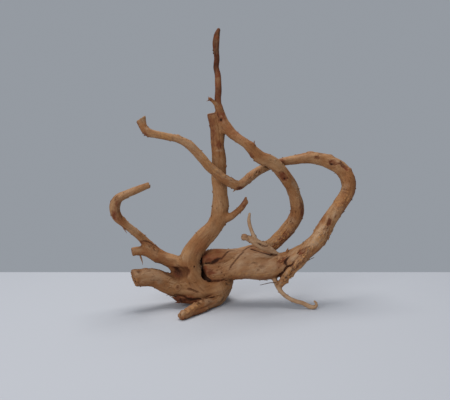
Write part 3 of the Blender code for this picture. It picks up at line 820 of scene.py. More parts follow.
LIMBS = (
    Limb(
        "trunk",
        (
            (-14, -13, 17, 14.2), (-23, -17, 28, 14.1), (-29, -20, 39, 13), (-33, -22, 51, 12.2),
            (-32, -22, 62, 12.3), (-27, -21, 73, 11.9), (-18, -20, 84, 11.4), (-5, -18, 97, 10.4),
            (3, -16, 111, 10.2), (6, -14, 127, 10.2), (5, -12, 147, 9.1), (4, -10, 167, 9),
            (4, -8, 185, 8.9), (3, -6, 204, 8.6), (2, -5, 223, 9), (0, -4, 240, 10), (0, -4, 246, 10.3),
        ),
        turns=0.4,
        cuts=(Cut((0, -4, 244.5), (-0.16, -0.05, 1)),),
        marks=marked(
            (K.STAIN, (5, -14.5, 203.5, 6, 3.8, 1.1)), (K.BARE, (4, -14.5, 197, 1.4, 6, 0.9)),
            (K.SCAR, (6, -15, 235, 3, 2.6, 1.2)), (K.PIT, (6, -15, 235, 1.6, 1.4, 0.9)),
            (K.STAIN, (-6, -12, 225, 24, 6, 0.7)), (K.PIT, (-26.5, -32, 52.5, 1.3, 1.1)),
            (K.BARE, (-41, -31, 64.5, 3, 2.2, 0.8)), (K.KNOT, (-9, -25, 92, 2, 1.8, 0.5)),
            (K.DENT, (-2, -27, 107, 9, 3, 0.8)), (K.BLUSH, (-20, -32, 75, 14, 7, 0.5)),
            (K.SCAR, (12, -5, 160, 5, 3, 0.9)), (K.KNOT, (-4, 0, 190, 3.4, 2.6)),
            (K.BARK, (6, 2, 215, 16, 5, 0.8)), (K.DENT, (-4, 2, 125, 12, 4)),
            (K.KNOT, (-12, -2, 100, 4, 3.2)), (K.BARK, (-30, -8, 62, 12, 6, 0.8)),
        ),
    ),
    Limb(
        "stock",
        (
            (-9, -14, 45, 12.3), (-2, -14, 44, 13.2), (7, -13, 45, 14.6), (18, -13, 48, 16.7),
            (34, -14, 50, 18), (52, -15, 50, 18.2), (67, -17, 50, 16.9), (82, -18, 52, 14.7),
            (95, -19, 58, 12.2), (106, -20, 65, 10.7), (118, -20, 73, 10.2), (129, -18, 84, 10),
            (138, -15, 97, 9.7), (147, -11, 112, 9.1), (158, -6, 126, 8.6), (167, -1, 138, 8.6),
            (172, 4, 152, 9.1), (169, 8, 165, 9.3), (159, 11, 175, 9.2), (146, 13, 182, 8.9),
            (131, 14, 186, 8.1), (115, 13, 186, 6.9), (100, 11, 184, 6.1), (85, 9, 181, 5.4),
            (70, 6, 177, 5.3), (58, 0, 172, 5.6), (46, -8, 165, 6.1), (37, -15, 158, 5.8), (29, -22, 154, 6),
            (16, -27, 160, 6.1), (3, -31, 169, 5.8), (-8, -35, 179, 5.6), (-16, -38, 189, 5.5),
            (-24, -41, 198, 5.3), (-33, -44, 206, 5.1), (-44, -47, 212, 4.4), (-57, -51, 215, 4.3),
            (-71, -55, 218, 4.5), (-80, -57, 221, 5), (-84.5, -57, 227, 4.8), (-86.5, -56, 232, 5.4),
            (-88, -56, 238, 6.6),
        ),
        turns=2, fillet=0.1,
        cuts=(Cut((-87.3, -56, 236), (-0.54, 0.05, 0.84), 1.1),),
        marks=marked(
            (K.BLUSH, (-12, -26, 47, 12, 9, 1.4)), (K.STAIN, (-16, -24, 46, 6, 5, 0.9)),
            (K.BARE, (30, -30, 50, 34, 12, 0.35), (36, -21, 66, 30, 13, 0.75)),
            (K.BARK, (10, -28, 46, 10, 6, 0.3)), (K.BARE, (60, -34, 47, 22, 5, 0.4)),
            (K.BLUSH, (40, -30, 36, 40, 4, 0.7)), (K.PIT, (4, -25.5, 50.5, 0.9, 0.8, 0.5),
            (8, -28, 44.5, 0.9, 0.8, 0.5), (11, -27.5, 40, 0.8, 0.8, 0.5)),
            (K.DENT, (49.5, -30.5, 57, 5, 2, 1), (58.5, -33.5, 52.5, 5, 2.4, 1),
            (53.5, -33.5, 48.5, 3.5, 2, 0.8)), (K.PIT, (77.5, -27, 62.5, 1, 0.9, 0.6)),
            (K.SCAR, (86.5, -30, 61, 3.4, 5, 0.5)), (K.BARE, (94, -31, 59, 6, 4, 0.6)),
            (K.BLUSH, (94, -31, 58, 5, 4, 0.7)), (K.PIT, (89, -30.5, 57.5, 1, 2, 0.6)),
            (K.BARK, (82, -30, 60, 7, 5, 0.7)), (K.PIT, (83.5, -30.5, 58, 1, 0.9, 0.5),
            (79.5, -32.5, 51, 0.9, 0.9, 0.5), (89.5, -27, 64.5, 1, 1, 0.5)),
            (K.BLUSH, (82, -31, 55, 12, 7, 0.7)), (K.BARK, (93.5, -31, 55, 6, 4, 0.8)),
            (K.SCAR, (109.5, -29, 71.5, 7.5, 3.4, 1.2)), (K.BARE, (109.5, -29.5, 71.5, 4, 1.2, 1),
            (119, -29, 78, 16, 8, 0.9), (100, -31, 64, 12, 5, 0.7), (70, -32, 56, 20, 9, 0.5),
            (99, -25, 70, 9, 3.5, 0.6), (66, -24, 65, 16, 5, 1.1)), (K.BARK, (118, -29, 74, 7, 3, 0.8),
            (109.5, -31, 66, 8, 2.6, 0.8), (136.5, -24.5, 94.5, 12, 5, 0.8), (142.5, -20.5, 88.5, 12, 4, 1)),
            (K.BARE, (134, -25, 98, 20, 6, 1), (124, -28, 86, 12, 5, 0.9)),
            (K.SCAR, (143.5, -20.5, 107.5, 4.6, 3.6, 0.7)), (K.STAIN, (143.5, -20.5, 107, 4.6, 3.4, 1.4),
            (152, -18.5, 114, 3, 2, 1.2)), (K.BLUSH, (164, -10, 130, 18, 8, 0.7)),
            (K.GOLDEN, (163, -11, 130, 20, 10, 0.9), (125, -28, 82, 26, 8, 0.6), (50, -34, 42, 40, 4, 0.6)),
            (K.STAIN, (172, -5, 128, 22, 3, 0.7)), (K.BARE, (160, -12, 123, 8, 5, 0.6),
            (150, -18, 117, 12, 4, 0.6)), (K.DENT, (166, -6, 147, 1.6, 7, 1.2), (166, -7, 143, 1.4, 6, 1)),
            (K.BARE, (163, -6, 152, 7, 5, 0.6)), (K.STAIN, (180, 0, 152, 18, 3, 0.7)),
            (K.SCAR, (165, 3.5, 175.5, 7, 3.4, 1)), (K.STAIN, (162, 3, 178.5, 5, 2, 1)),
            (K.BURR, (172, 6, 171, 2.6, 1.8, 0.8)), (K.SCAR, (151.5, 2.5, 180.5, 6.5, 4.4, 1)),
            (K.STAIN, (149, 2.5, 179.5, 4.4, 2.6, 1)), (K.PIT, (149, 3.5, 178.5, 1.6, 1.2, 0.4)),
            (K.BARE, (158, 3, 182, 8, 3, 0.6)), (K.STAIN, (131, 6, 187, 4.2, 2.2, 1.3)),
            (K.BARE, (112, 7, 189, 14, 4, 0.45)), (K.BURR, (123, 12, 194, 4, 4, 0.9)),
            (K.DENT, (137, 11, 193, 4, 5, 1.3)), (K.BURR, (149, 11, 190, 5, 4, 0.9)),
            (K.STAIN, (86, 4, 182, 5, 3.5, 1)), (K.BARK, (67, -1.5, 174.5, 6, 3.5, 0.9),
            (50, -12, 168.5, 10, 3.5, 1)), (K.BLUSH, (40, -18, 161, 12, 6, 0.7)),
            (K.KNOT, (29.5, -27.5, 151, 3.2, 3, 0.8)), (K.STAIN, (30, -26, 151, 5, 4, 1)),
            (K.BARE, (16, -32, 163, 10, 3, 0.7), (0, -36, 175, 14, 3.4, 0.5)),
            (K.GOLDEN, (-4, -39, 180, 26, 6, 0.8)), (K.BURR, (-44, -47, 216.5, 2.4, 1.6, 0.7)),
            (K.BARE, (-26, -46, 202, 22, 3.4, 0.5)), (K.GOLDEN, (-60, -56, 216, 20, 4, 0.8)),
            (K.STAIN, (-82, -60, 218, 3.5, 3.5, 1)), (K.BARE, (-80, -60, 224, 3, 2, 0.9),
            (-84, -60, 234, 4, 2, 0.9), (-70, -56, 222, 7, 2, 0.8)), (K.STAIN, (-90, -58, 230, 7, 2.4, 1)),
            (K.KNOT, (40, 4, 52, 5, 4)), (K.BARK, (62, 0, 56, 16, 8, 0.8)), (K.SCAR, (20, -2, 36, 6, 4)),
            (K.KNOT, (132, -8, 90, 3, 2.6)), (K.SCAR, (150, 22, 186, 5, 3)),
            (K.BARK, (172, 13, 150, 12, 4, 0.8)), (K.KNOT, (85, 14, 183, 2.4, 2)),
            (K.BARK, (-12, -30, 182, 12, 3, 0.7)),
        ),
    ),
    Limb(
        "fold",
        ((-14, -10, 58, 9.8), (-1, -12, 60, 10.5), (15, -13, 60, 10.3), (30, -12, 59, 9.3)),
        fillet=0.12, red=0.2,
        marks=marked(
            (K.BLUSH, (-10, -20, 61, 12, 9, 1.4)), (K.STAIN, (-9, -20, 58, 7, 4, 1)),
            (K.BARE, (-12, -19, 62, 3, 2, 0.6)), (K.BLUSH, (6, -16, 69, 12, 5, 0.8)),
            (K.BARE, (22, -15, 69, 8, 6, 0.7)),
        ),
    ),
    Limb(
        "arch",
        (
            (13, -5, 54, 10.4), (29, -4, 58, 10.4), (45, -1, 63, 9.9), (59, 3, 67, 9.2), (73, 5, 72, 8.8),
            (84, 8, 82, 8.8), (94, 11, 92, 9), (103, 13, 103, 9), (107, 13, 114, 8.8), (106, 11, 126, 8.4),
            (99, 5, 147, 8), (91, -1, 160, 8.1), (81, -7, 173, 8.1), (69, -12, 183, 8.1),
            (56, -16, 189, 7.8), (48, -18, 196, 7.1), (38, -19, 206, 5.7), (28, -16, 213, 5.9),
            (19, -12, 220, 6.6), (12, -9.5, 230, 6.5), (7, -9, 242, 5.4), (4, -10, 251, 4.7),
            (3, -11, 260, 4.2), (4, -12, 274, 4.3), (3, -14, 290, 3.9), (1, -14, 299, 3.6),
            (2, -13, 310, 3.5), (1, -12, 321, 3.8), (1, -11, 332, 4.4), (2, -11, 339, 3.6),
            (4, -11, 345, 2.4),
        ),
        turns=1.2, fillet=0.9,
        marks=marked(
            (K.BLUSH, (45, -9, 71, 9, 3, 1.2)), (K.BARE, (28, -12, 68, 12, 7, 0.8)),
            (K.BARK, (94, 1, 91.5, 11, 4, 1.1), (84, -1, 79, 16, 4.6, 1.3)),
            (K.BLUSH, (90, 1, 80, 22, 8, 1)), (K.BARE, (97, 4, 107, 7, 6, 0.8)),
            (K.GOLDEN, (86, 0, 84, 26, 9, 0.9)), (K.STAIN, (93, 5, 82, 12, 2.6, 0.9)),
            (K.BARE, (84, 0, 84, 20, 5, 0.6)), (K.BARK, (99.5, 5.5, 107.5, 5, 4, 0.6)),
            (K.STAIN, (113, 5, 119, 14, 3.4, 1.3)), (K.BARK, (104, 0, 146.5, 4, 3, 1)),
            (K.SCAR, (85.5, -12, 165, 8.5, 4.6, 0.9)), (K.STAIN, (86.5, -12, 163.5, 6, 3, 0.8)),
            (K.PIT, (87.5, -11, 161, 1.5, 1.3, 0.9), (91, -9.5, 162, 1.2, 1, 0.6)),
            (K.BARE, (74, -18, 183, 12, 4, 0.2), (103, -1, 151, 12, 4, 0.8)),
            (K.BURR, (45, -22, 190, 4, 3.2, 1)), (K.STAIN, (44, -24, 190, 4, 3, 0.8)),
            (K.BURR, (46, -21, 204, 4, 3.4, 1)), (K.BLUSH, (20, -18, 222, 26, 9, 0.5)),
            (K.SCAR, (7, -15, 236, 3, 2.6, 1.2)), (K.PIT, (6.5, -15.5, 235, 1.8, 1.6, 1)),
            (K.BARE, (8, -15.5, 240, 3, 1.4, 0.9), (10, -15.5, 233, 3, 1.4, 0.9)),
            (K.BLUSH, (2, -17, 290, 64, 16, 1.2)), (K.STAIN, (2, -16, 312, 22, 14, 1.4),
            (2, -16, 295, 60, 16, 0.5), (4, -14, 345, 8, 9, 1.4), (3, -16, 268, 9, 9, 0.8)),
            (K.BARE, (1, -16, 331, 4, 4, 0.9), (3, -17, 288, 11, 3, 0.5)),
            (K.KNOT, (1, -16, 332, 3, 2.2, 0.6)), (K.BURR, (5, -9, 299, 2.2, 1.6, 0.6),
            (5.5, -15, 266.5, 2, 1.6, 0.8)), (K.KNOT, (104, 22, 118, 3.4, 2.8)),
            (K.BARK, (70, -5, 186, 14, 4, 0.8)), (K.SCAR, (60, 12, 70, 6, 4)),
            (K.BARK, (24, -9, 217, 10, 3, 0.7)),
        ),
    ),
    Limb(
        "left_root",
        (
            (-33, -11, 31, 12.3), (-41, -14, 40, 11.6), (-47, -17, 49, 10.7), (-54, -19, 56, 9.3),
            (-63, -21, 60, 8.1), (-73, -24, 66, 7.8), (-82, -28, 76, 7), (-90, -33, 87, 5.2),
            (-100, -40, 99, 4.8), (-110, -47, 109, 4.8), (-119, -53, 120, 5.9), (-120, -56, 131, 6.2),
            (-116, -57, 141, 5.7), (-105, -55, 147, 4.8), (-92, -52, 152, 4.3), (-76, -49, 158.5, 3.6),
        ),
        fillet=0.85,
        cuts=(Cut((-79, -49, 157), (0.93, 0.2, 0.3)),),
        marks=marked(
            (K.STAIN, (-91.5, -36.5, 84, 3.4, 2.6, 1.2)), (K.BLUSH, (-67, -31, 63, 12, 6, 1.1)),
            (K.STAIN, (-73, -32.5, 61, 3, 2.4, 1)), (K.BARE, (-62, -27, 64, 11, 3, 0.35)),
            (K.BARK, (-79, -34, 76, 9, 4, 0.5)), (K.BARE, (-84, -35, 78, 4, 3, 0.6),
            (-75, -32, 70, 6, 4, 0.6)), (K.STAIN, (-50, -24, 47, 7, 5, 0.6), (-47.5, -22, 41.5, 9, 7, 1.4)),
            (K.BLUSH, (-116, -58, 116, 12, 5, 0.9)), (K.STAIN, (-121, -60, 122, 6, 3, 0.8)),
            (K.BARE, (-104, -58, 150, 12, 3, 0.6)), (K.BURR, (-117.5, -60.5, 145, 2.6, 1.8, 0.7)),
            (K.BARE, (-100, -43, 104, 10, 2.4, 0.4)), (K.KNOT, (-95, -32, 95, 2.4, 2, 0.8)),
            (K.BARK, (-114, -46, 118, 8, 3, 0.4)), (K.STAIN, (-118, -60, 132, 14, 5, 0.6)),
            (K.SCAR, (-60, -14, 62, 5, 3)),
        ),
    ),
    Limb(
        "left_stub",
        ((-74, -24, 64, 7), (-84, -27, 70, 6.5), (-93, -30, 72, 5.8), (-108, -34, 71, 5.2)),
        cuts=(Cut((-104, -33, 71), (-1, -0.35, -0.12), 0.5),),
        marks=marked(
            (K.BARE, (-98, -36, 74, 6, 3, 0.5)), (K.BLUSH, (-88, -35, 70, 5, 4, 0.7)),
        ),
    ),
    Limb(
        "low_stub",
        (
            (-20, -13, 19, 14.9), (-37, -15, 19, 14.8), (-52, -19, 24, 13.6), (-64, -25, 31, 12.2),
            (-77, -32, 38, 11.2), (-89, -39, 41, 10.6), (-105, -48, 42, 9.9),
        ),
        fillet=0.45,
        cuts=(Cut((-101, -45, 42), (-0.95, -0.42, -0.2), 1.6),),
        marks=marked(
            (K.BURR, (-87, -42, 51, 4.5, 5, 1.1)), (K.DENT, (-94, -47, 49, 3.4, 5, 2.2)),
            (K.BARE, (-97, -49, 49, 4, 5, 0.6)), (K.BARK, (-99, -51, 40, 4, 8, 0.9)),
            (K.KNOT, (-47.5, -31, 25.5, 4.2, 3.6, 0.9)), (K.BARE, (-78, -42, 45, 24, 9, 0.8)),
            (K.DENT, (-66, -38, 34, 10, 2.6, 0.9)), (K.BLUSH, (-90, -49, 38, 8, 4, 0.5)),
            (K.KNOT, (-70, -20, 44, 3.4, 3)), (K.BARK, (-50, -6, 28, 12, 6, 0.8)),
        ),
    ),
    Limb(
        "base",
        ((-24, -14, 20, 14.5), (-8, -15, 21, 14.6), (3, -14, 22, 14.2), (9, -11, 25, 12.6)),
        fillet=0.5,
        marks=marked(
            (K.DENT, (-13.5, -30, 26, 5, 2, 0.9)), (K.BLUSH, (-25, -30, 18, 9, 5, 0.6)),
            (K.PIT, (-8, -29.5, 27.5, 0.9, 0.8, 0.5)),
        ),
    ),
    Limb(
        "wrap_root",
        (
            (-10, 6, 42, 13.2), (1, 4, 38, 13.2), (9, -2, 29, 12.4), (9, -8, 19, 11.2), (5, -15, 12, 9.6),
            (1, -22, 8.5, 8.7), (-7, -35, 7, 7.4), (-15, -46, 7, 7.5), (-21, -55, 6.5, 7.3),
            (-28, -65, 6, 6.8), (-34, -74, 5, 5.9), (-40, -82, 4.5, 5),
        ),
        fillet=0.2, flute=1.5,
        cuts=(Cut((-40.5, -83.5, 6), (-0.66, -0.74, -0.12), 1.3),),
        marks=marked(
            (K.BARK, (-19, -58, 13, 10, 3, 0.3)), (K.BARE, (-22, -60, 13, 20, 3.4, 0.35)),
            (K.BLUSH, (-24, -66, 6, 20, 4, 0.6)), (K.STAIN, (-22, -62, 3, 20, 3, 1)),
            (K.BURR, (-32, -73, 11, 2.6, 3, 1.1), (-38, -81, 9.5, 2.6, 3.4, 1.3)),
            (K.DENT, (-35, -77, 10, 1.6, 4, 1.6)), (K.BARE, (-38, -84, 9, 4, 3.4, 1)),
            (K.GOLDEN, (-30, -72, 10, 18, 6, 1)), (K.STAIN, (-40, -87, 2.5, 4, 3, 1)),
            (K.BARE, (-10, -45, 11, 10, 5, 0.9)), (K.KNOT, (18, 4, 32, 3.4, 3)),
            (K.BARK, (4, 16, 36, 12, 6, 0.8)),
        ),
    ),
    Limb(
        "stump",
        ((-19, -13, 28, 14.2), (-8, -5, 20, 15.7), (0, 5, 15, 17.2)),
        fillet=0.3,
        marks=marked(
            (K.BARK, (-14, 12, 20, 10, 7, 0.8)),
        ),
    ),
    Limb(
        "back_foot",
        ((0, 5, 24, 15.8), (4, 16, 16, 12.7), (2, 27, 7, 9.8), (0, 35, 2, 7.4)),
        marks=marked(
            (K.KNOT, (8, 22, 18, 3.4, 3)), (K.STAIN, (2, 36, 6, 6, 5)),
        ),
    ),
    Limb(
        "broken_root",
        ((-16, -17, 9, 7.7), (-25, -23, 8, 5.9), (-35, -29, 9, 4.8), (-45, -33, 11, 4), (-53, -37, 15, 2)),
        fillet=0.4, flute=1.3, red=0.35,
        cuts=(Cut((-51, -36, 14), (-0.85, -0.2, 0.45), 1.6),),
        marks=marked(
            (K.STAIN, (-36, -34, 9, 16, 6, 1), (-46, -37, 13, 8, 5, 1.2)),
            (K.BURR, (-40, -38, 8, 3.4, 3, 1.2)),
        ),
    ),
    Limb(
        "torn_slab",
        (
            (124, -21, 74, 5.4), (113, -26, 63, 6), (101.5, -29, 53.5, 6.1), (92, -30, 43.5, 5.6),
            (85.5, -29, 34.5, 4.9), (81, -28, 28, 3.8),
        ),
        relief=0.14, fillet=0.2, flute=1.8, red=0.1, pale=0.15,
        marks=marked(
            (K.BARK, (104, -35, 56, 16, 5, 1), (90, -36, 40, 13, 5, 0.9)),
            (K.BARE, (98, -35, 54, 16, 3, 0.9), (88, -35, 40, 8, 3, 0.8)),
            (K.PIT, (96, -36, 48, 1.3, 1.1, 0.6)), (K.BURR, (89, -31, 33, 3, 2, 1.1),
            (96, -31, 41, 2.6, 2, 0.9)), (K.BARE, (83, -33, 31, 5, 4, 0.5)),
            (K.GOLDEN, (95, -36, 45, 26, 6, 1)), (K.BURR, (108, -33, 60, 2.6, 2.2, 0.9),
            (101, -36, 51, 3, 2.2, 1)), (K.DENT, (97, -36, 51, 1.6, 4, 1.6)),
            (K.BURR, (92, -36, 44, 2.4, 2.4, 1)), (K.DENT, (88, -35, 39, 1.4, 4, 1.4)),
            (K.BARE, (110, -32, 62, 6, 2.4, 0.6)),
        ),
    ),
    Limb(
        "floor_rootlet",
        (
            (73, -19, 40, 3.8), (76, -25, 32, 3), (80, -29, 24, 2.8), (86, -32, 17, 2.6), (94, -35, 12, 2.6),
            (102, -37, 9, 2.6), (110, -38, 7, 2.6), (116, -39, 4, 2.8), (122, -40, 2.4, 2.6),
            (126, -40, 4, 2.1), (126, -40, 8, 1.6), (123, -40, 11, 1.2),
        ),
        relief=0.03, flute=0.7, pale=0.62,
    ),
    Limb(
        "top_rootlet",
        (
            (84, -17, 60, 3.8), (77, -21, 67, 3), (68, -24, 73, 4.4), (57, -26, 79, 5.2), (47, -28, 85, 4.4),
            (36, -30, 90, 3.4),
        ),
        fillet=0.3, pale=0.52,
        marks=marked(
            (K.DENT, (56, -31, 80, 7, 1.3, 1.4)), (K.BARE, (76, -24, 68, 10, 4, 0.6)),
            (K.BURR, (38, -32, 92, 2.6, 2.4, 1.2), (35.5, -31, 87.5, 2, 2, 1)),
            (K.DENT, (41, -32, 87, 2, 2.4, 1)), (K.STAIN, (34, -30, 90, 2.4, 4, 0.6)),
        ),
    ),
    Limb(
        "rootlet_twig",
        (
            (51, -27, 84, 3), (48, -27, 91, 2.5), (44, -26, 101, 2.4), (42, -24, 110, 2.3),
            (43, -22, 118, 1.6),
        ),
        relief=0.03, flute=0.7, pale=0.78,
    ),
    Limb(
        "trunk_twig",
        (
            (8, -16, 111, 6.3), (18, -20, 114, 5), (26, -23, 120, 3.9), (33, -26, 127, 3.9),
            (37, -27, 134, 3.2), (38, -27, 140, 1.2),
        ),
        marks=marked(
            (K.STAIN, (36, -28, 133, 9, 4, 1)), (K.BURR, (40, -28, 133, 2.4, 2, 0.8)),
        ),
    ),
    Limb(
        "tip_twig",
        ((5, -12, 250, 4), (1, -14, 254, 3), (-3, -16, 258, 2.2), (-7, -18, 261, 2.1)),
        marks=marked(
            (K.STAIN, (-6, -18, 260, 2, 3, 0.8)), (K.BARE, (1, -15, 255, 3, 2, 0.9)),
        ),
    ),
)

HOLLOWS = (
    Limb(
        "stock_socket",
        (
            (-16, -13, 65, 2), (-20, -16, 57, 2.4), (-20.5, -17, 49, 3.8), (-20, -20, 42, 5.4),
            (-16, -22, 37, 5), (-10, -22, 34, 3.6), (-3, -22, 33, 2.4), (5, -22, 33, 1.6),
            (13, -20, 33, 1.2),
        ),
        fillet=0.15, dark=1,
    ),
    Limb(
        "foot_crack",
        (
            (-57, -38, 17, 2), (-48, -38, 15, 2.3), (-40, -37, 12.5, 2.2), (-33, -34, 9.5, 2.4),
            (-27, -32, 8, 2.8), (-20, -31, 7.8, 2.6), (-12, -30, 9, 2.4), (-4, -27, 10, 2),
            (4, -23, 11.5, 1.4),
        ),
        fillet=0.2, dark=1,
    ),
    Limb(
        "root_hollow",
        ((-59, -27, 47, 4.5), (-51, -27, 43.5, 6.5), (-44, -29, 43, 7.6), (-38, -33, 46.5, 5)),
        fillet=0.9, dark=0.35,
    ),
)

CREASES = (
    Crease(((2, -15, 245, 0.7), (3, -15.5, 240.5, 0.9), (5, -15.5, 236.5, 0.9)), 0.8, 0.5),
    Crease(((-9.5, -8, 242.5, 0.7), (-6, -12.5, 243, 0.9), (0.5, -14.5, 243.5, 0.8)), 0.5, 0.7),
    Crease(((-41, -31.5, 14.5, 1.2), (-38.5, -31.5, 14, 1.5), (-34.5, -33, 12, 1.4), (-31, -31, 10, 1.8),
        (-26, -29, 9.5, 1.4), (-22.5, -28, 10, 1.5), (-17, -28, 9.5, 1.2)), 1.5, 1.1),
    Crease(((-18.5, -46, 13.5, 1), (-13, -41.5, 14.5, 1.5), (-9.5, -37.5, 14.5, 1.1),
        (-5.5, -35, 14, 1.4), (0, -31, 14, 0.8)), 1.9, 1.3),
    Crease(((44, -10.5, 70.5, 1.2), (50.5, -11, 69.5, 1.8), (57, -12.5, 68.5, 2.1), (62, -16, 67, 1.8),
        (66.5, -19.5, 66.5, 1.4), (72, -23.5, 66.5, 1.1), (79, -23.5, 66, 0.9)), 1.8, 0.9),
    Crease(((-20, -20.5, 53, 0.9), (-15, -19.5, 53.5, 0.9), (-7.5, -20.5, 54.5, 1.1),
        (-5, -21, 54.5, 1.2), (-0.5, -22, 57.5, 1.6), (4.5, -23, 61, 1.4), (7, -23.5, 60.5, 1.2),
        (8.5, -23.5, 62, 0.9), (11, -22, 64.5, 0.9), (17, -17, 69.5, 0.8),
        (26, -13.5, 69.5, 0.6)), 2.2, 0.8),
    Crease(((-6, -21, 55, 1.2), (-0.5, -22, 57.5, 2.3), (4.5, -23, 60.5, 1.6)), 2.4, 1.4),
    Crease(((37, -15, 69, 0.9), (33, -20, 67, 1), (29, -24, 63.5, 1), (21.5, -29, 55.5, 0.9),
        (18.5, -29.5, 51, 0.8), (17, -29.5, 47, 0.6)), 1.7),
    Crease(((33.5, -15, 68.5, 0.8), (37.5, -12, 70.5, 0.9), (41, -7.5, 71.5, 0.9),
        (45.5, -4.5, 72.5, 0.8), (52, -4, 74, 0.7)), 1.1),
    Crease(((-11, -26, 33, 1.6), (-3, -25, 32.5, 1.3), (4.5, -24.5, 32.5, 1),
        (13, -22.5, 33.5, 0.7)), 1.6),
    Crease(((-36.5, -29, 23, 1), (-32, -30, 23, 1.3), (-27, -31, 21.5, 1.3),
        (-20.5, -31, 19, 0.8)), 1.8),
    Crease(((77, -26.5, 38, 1.2), (81.5, -28, 41.5, 1.4), (86, -30.5, 46, 1.1), (89.5, -31, 52, 1.4),
        (96, -32.5, 55, 1.1), (99, -32, 60, 0.8)), 2.2, 1.1),
    Crease(((94, -28, 65.5, 0.7), (89.5, -29.5, 61.5, 1.2), (87, -30.5, 57.5, 1.5), (89.5, -31, 54.5, 1),
        (92, -31.5, 51.5, 0.8)), 1.6, 1),
    Crease(((-91, -38, 86, 0.9), (-87, -37.5, 86, 1), (-83.5, -35, 85, 1), (-79, -32, 81.5, 0.9),
        (-73, -28, 76.5, 0.8), (-70, -27.5, 73.5, 0.6)), 1.1),
    Crease(((66, -24, 76, 0.7), (60, -31, 79, 0.7), (52, -31.5, 83, 0.6)), 0.9, 0.7),
)


@dataclass(frozen=True)
class Spine:
    """A broken twig's stub or a splinter: its foot, its tip and its radius at the foot."""

    foot: Point
    tip: Point
    radius: float


SPINES = tuple(
    Spine(row[:3], row[3:6], row[6])
    for row in (
        (-94, -31, 66, -91, -33, 55, 1.2), (-113.5, -49, 110.5, -107.5, -50, 98.5, 1.7),
        (-21, -24, 91, -25, -25, 95, 2.2), (49, -19.5, 197, 48.5, -20, 209, 3),
        (44, -19, 202, 42.5, -19.5, 208, 2.2), (-81, -57, 220, -83.5, -58, 216, 2.2),
        (-86, -56, 235, -82, -57, 239.5, 2.2), (26, -23, 151, 22, -24, 146, 2),
        (-6, -18, 260, -11, -19, 258, 1), (-6, -18, 260, -9, -18, 264, 1), (38, -30, 90, 32, -31, 91.5, 1.6),
        (38, -30, 88, 33, -32, 86, 1.5), (149, -13, 105, 152, -15, 101, 2.2),
        (92, -32, 41, 95, -35, 38, 2.2), (170, 8, 168, 173, 9, 172, 2.4), (113, -26, 60, 118, -28, 60, 2.4),
        (91, -20, 68, 92, -21, 74, 2.6), (-47, -36, 12, -55, -38, 15, 2.4), (-44, -37, 9, -50, -39, 8, 2.2),
        (-19, -58, 13, -22, -62, 18, 1.6), (-14, -50, 13, -17, -53, 18, 1.5),
        (80, -31, 33, 76, -32, 28.5, 1.5),
    )
)

FIBRES = (
    ((57, -30, 28.5, 0.35), (63, -31, 30.2, 0.45), (69, -31, 31.5, 0.5), (77, -29, 31, 0.6)),
    ((112, -28, 58, 0.6), (117, -31, 61, 0.5), (124, -32, 64.5, 0.35)),
    ((12, -20, 30, 0.5), (16, -24, 27, 0.4), (20, -26, 28.5, 0.3)),
    ((-50, -36, 15, 0.5), (-57, -38, 18, 0.4), (-62, -38, 17, 0.25)),
)

# How far out of the skin the field is read, what shortfall it is eased from and to, and the shade.
SHADES = ((2.2, 0.25, 0.95, 0.5), (7.0, 0.35, 1.0, 0.2))
SAWN_SHARE = 1.2  # of the radius, beyond which nothing counts as sawn
CLEAR_OF_GROUND = 3.0  # height above which scales and slivers start


def new_mesh(name: str, points: Array, faces: Faces) -> bpy.types.Object:
    """Makes an object of points in millimetres.

    Args:
        name: of the object.
        points: its points.
        faces: its faces.

    Returns:
        The object, at the origin.
    """
    mesh = bpy.data.meshes.new(name)
    mesh.from_pydata((np.asarray(points) * MM).tolist(), [], faces)
    mesh.update()
    obj = bpy.data.objects.new(name, mesh)
    bpy.context.scene.collection.objects.link(obj)
    return obj


def point_vectors(mesh: bpy.types.Mesh, name: str) -> Array:
    """Reads a vector of each point of the mesh.

    Args:
        mesh: the mesh.
        name: co for the places, in metres, or normal for the ways out.

    Returns:
        One row for each point.
    """
    flat = np.empty(len(mesh.vertices) * 3, np.float32)
    mesh.vertices.foreach_get(name, flat)
    return flat.reshape(-1, 3).astype(float)


def apply_modifiers(obj: bpy.types.Object) -> None:
    """Gives the object the mesh that its modifiers make, and clears them.

    Args:
        obj: the object.
    """
    bpy.context.view_layer.update()
    graph = bpy.context.evaluated_depsgraph_get()
    made = bpy.data.meshes.new_from_object(obj.evaluated_get(graph))
    obj.modifiers.clear()
    obj.data = made


def hollowness(mesh: bpy.types.Mesh, points: Array, normals: Array) -> Array:
    """Measures how far each point lies below the middle of its neighbours.

    Args:
        mesh: the mesh.
        points: its points.
        normals: the ways out of it there.

    Returns:
        The depths.
    """
    ends = np.empty(len(mesh.edges) * 2, np.int32)
    mesh.edges.foreach_get("vertices", ends)
    a, b = ends.reshape(-1, 2).T
    size = len(points)
    count = np.bincount(a, minlength=size) + np.bincount(b, minlength=size)
    sums = [np.bincount(a, row[b], size) + np.bincount(b, row[a], size) for row in points.T]
    middle = np.stack(sums, axis=1) / count[:, None]
    return ((middle - points) * normals).sum(1)


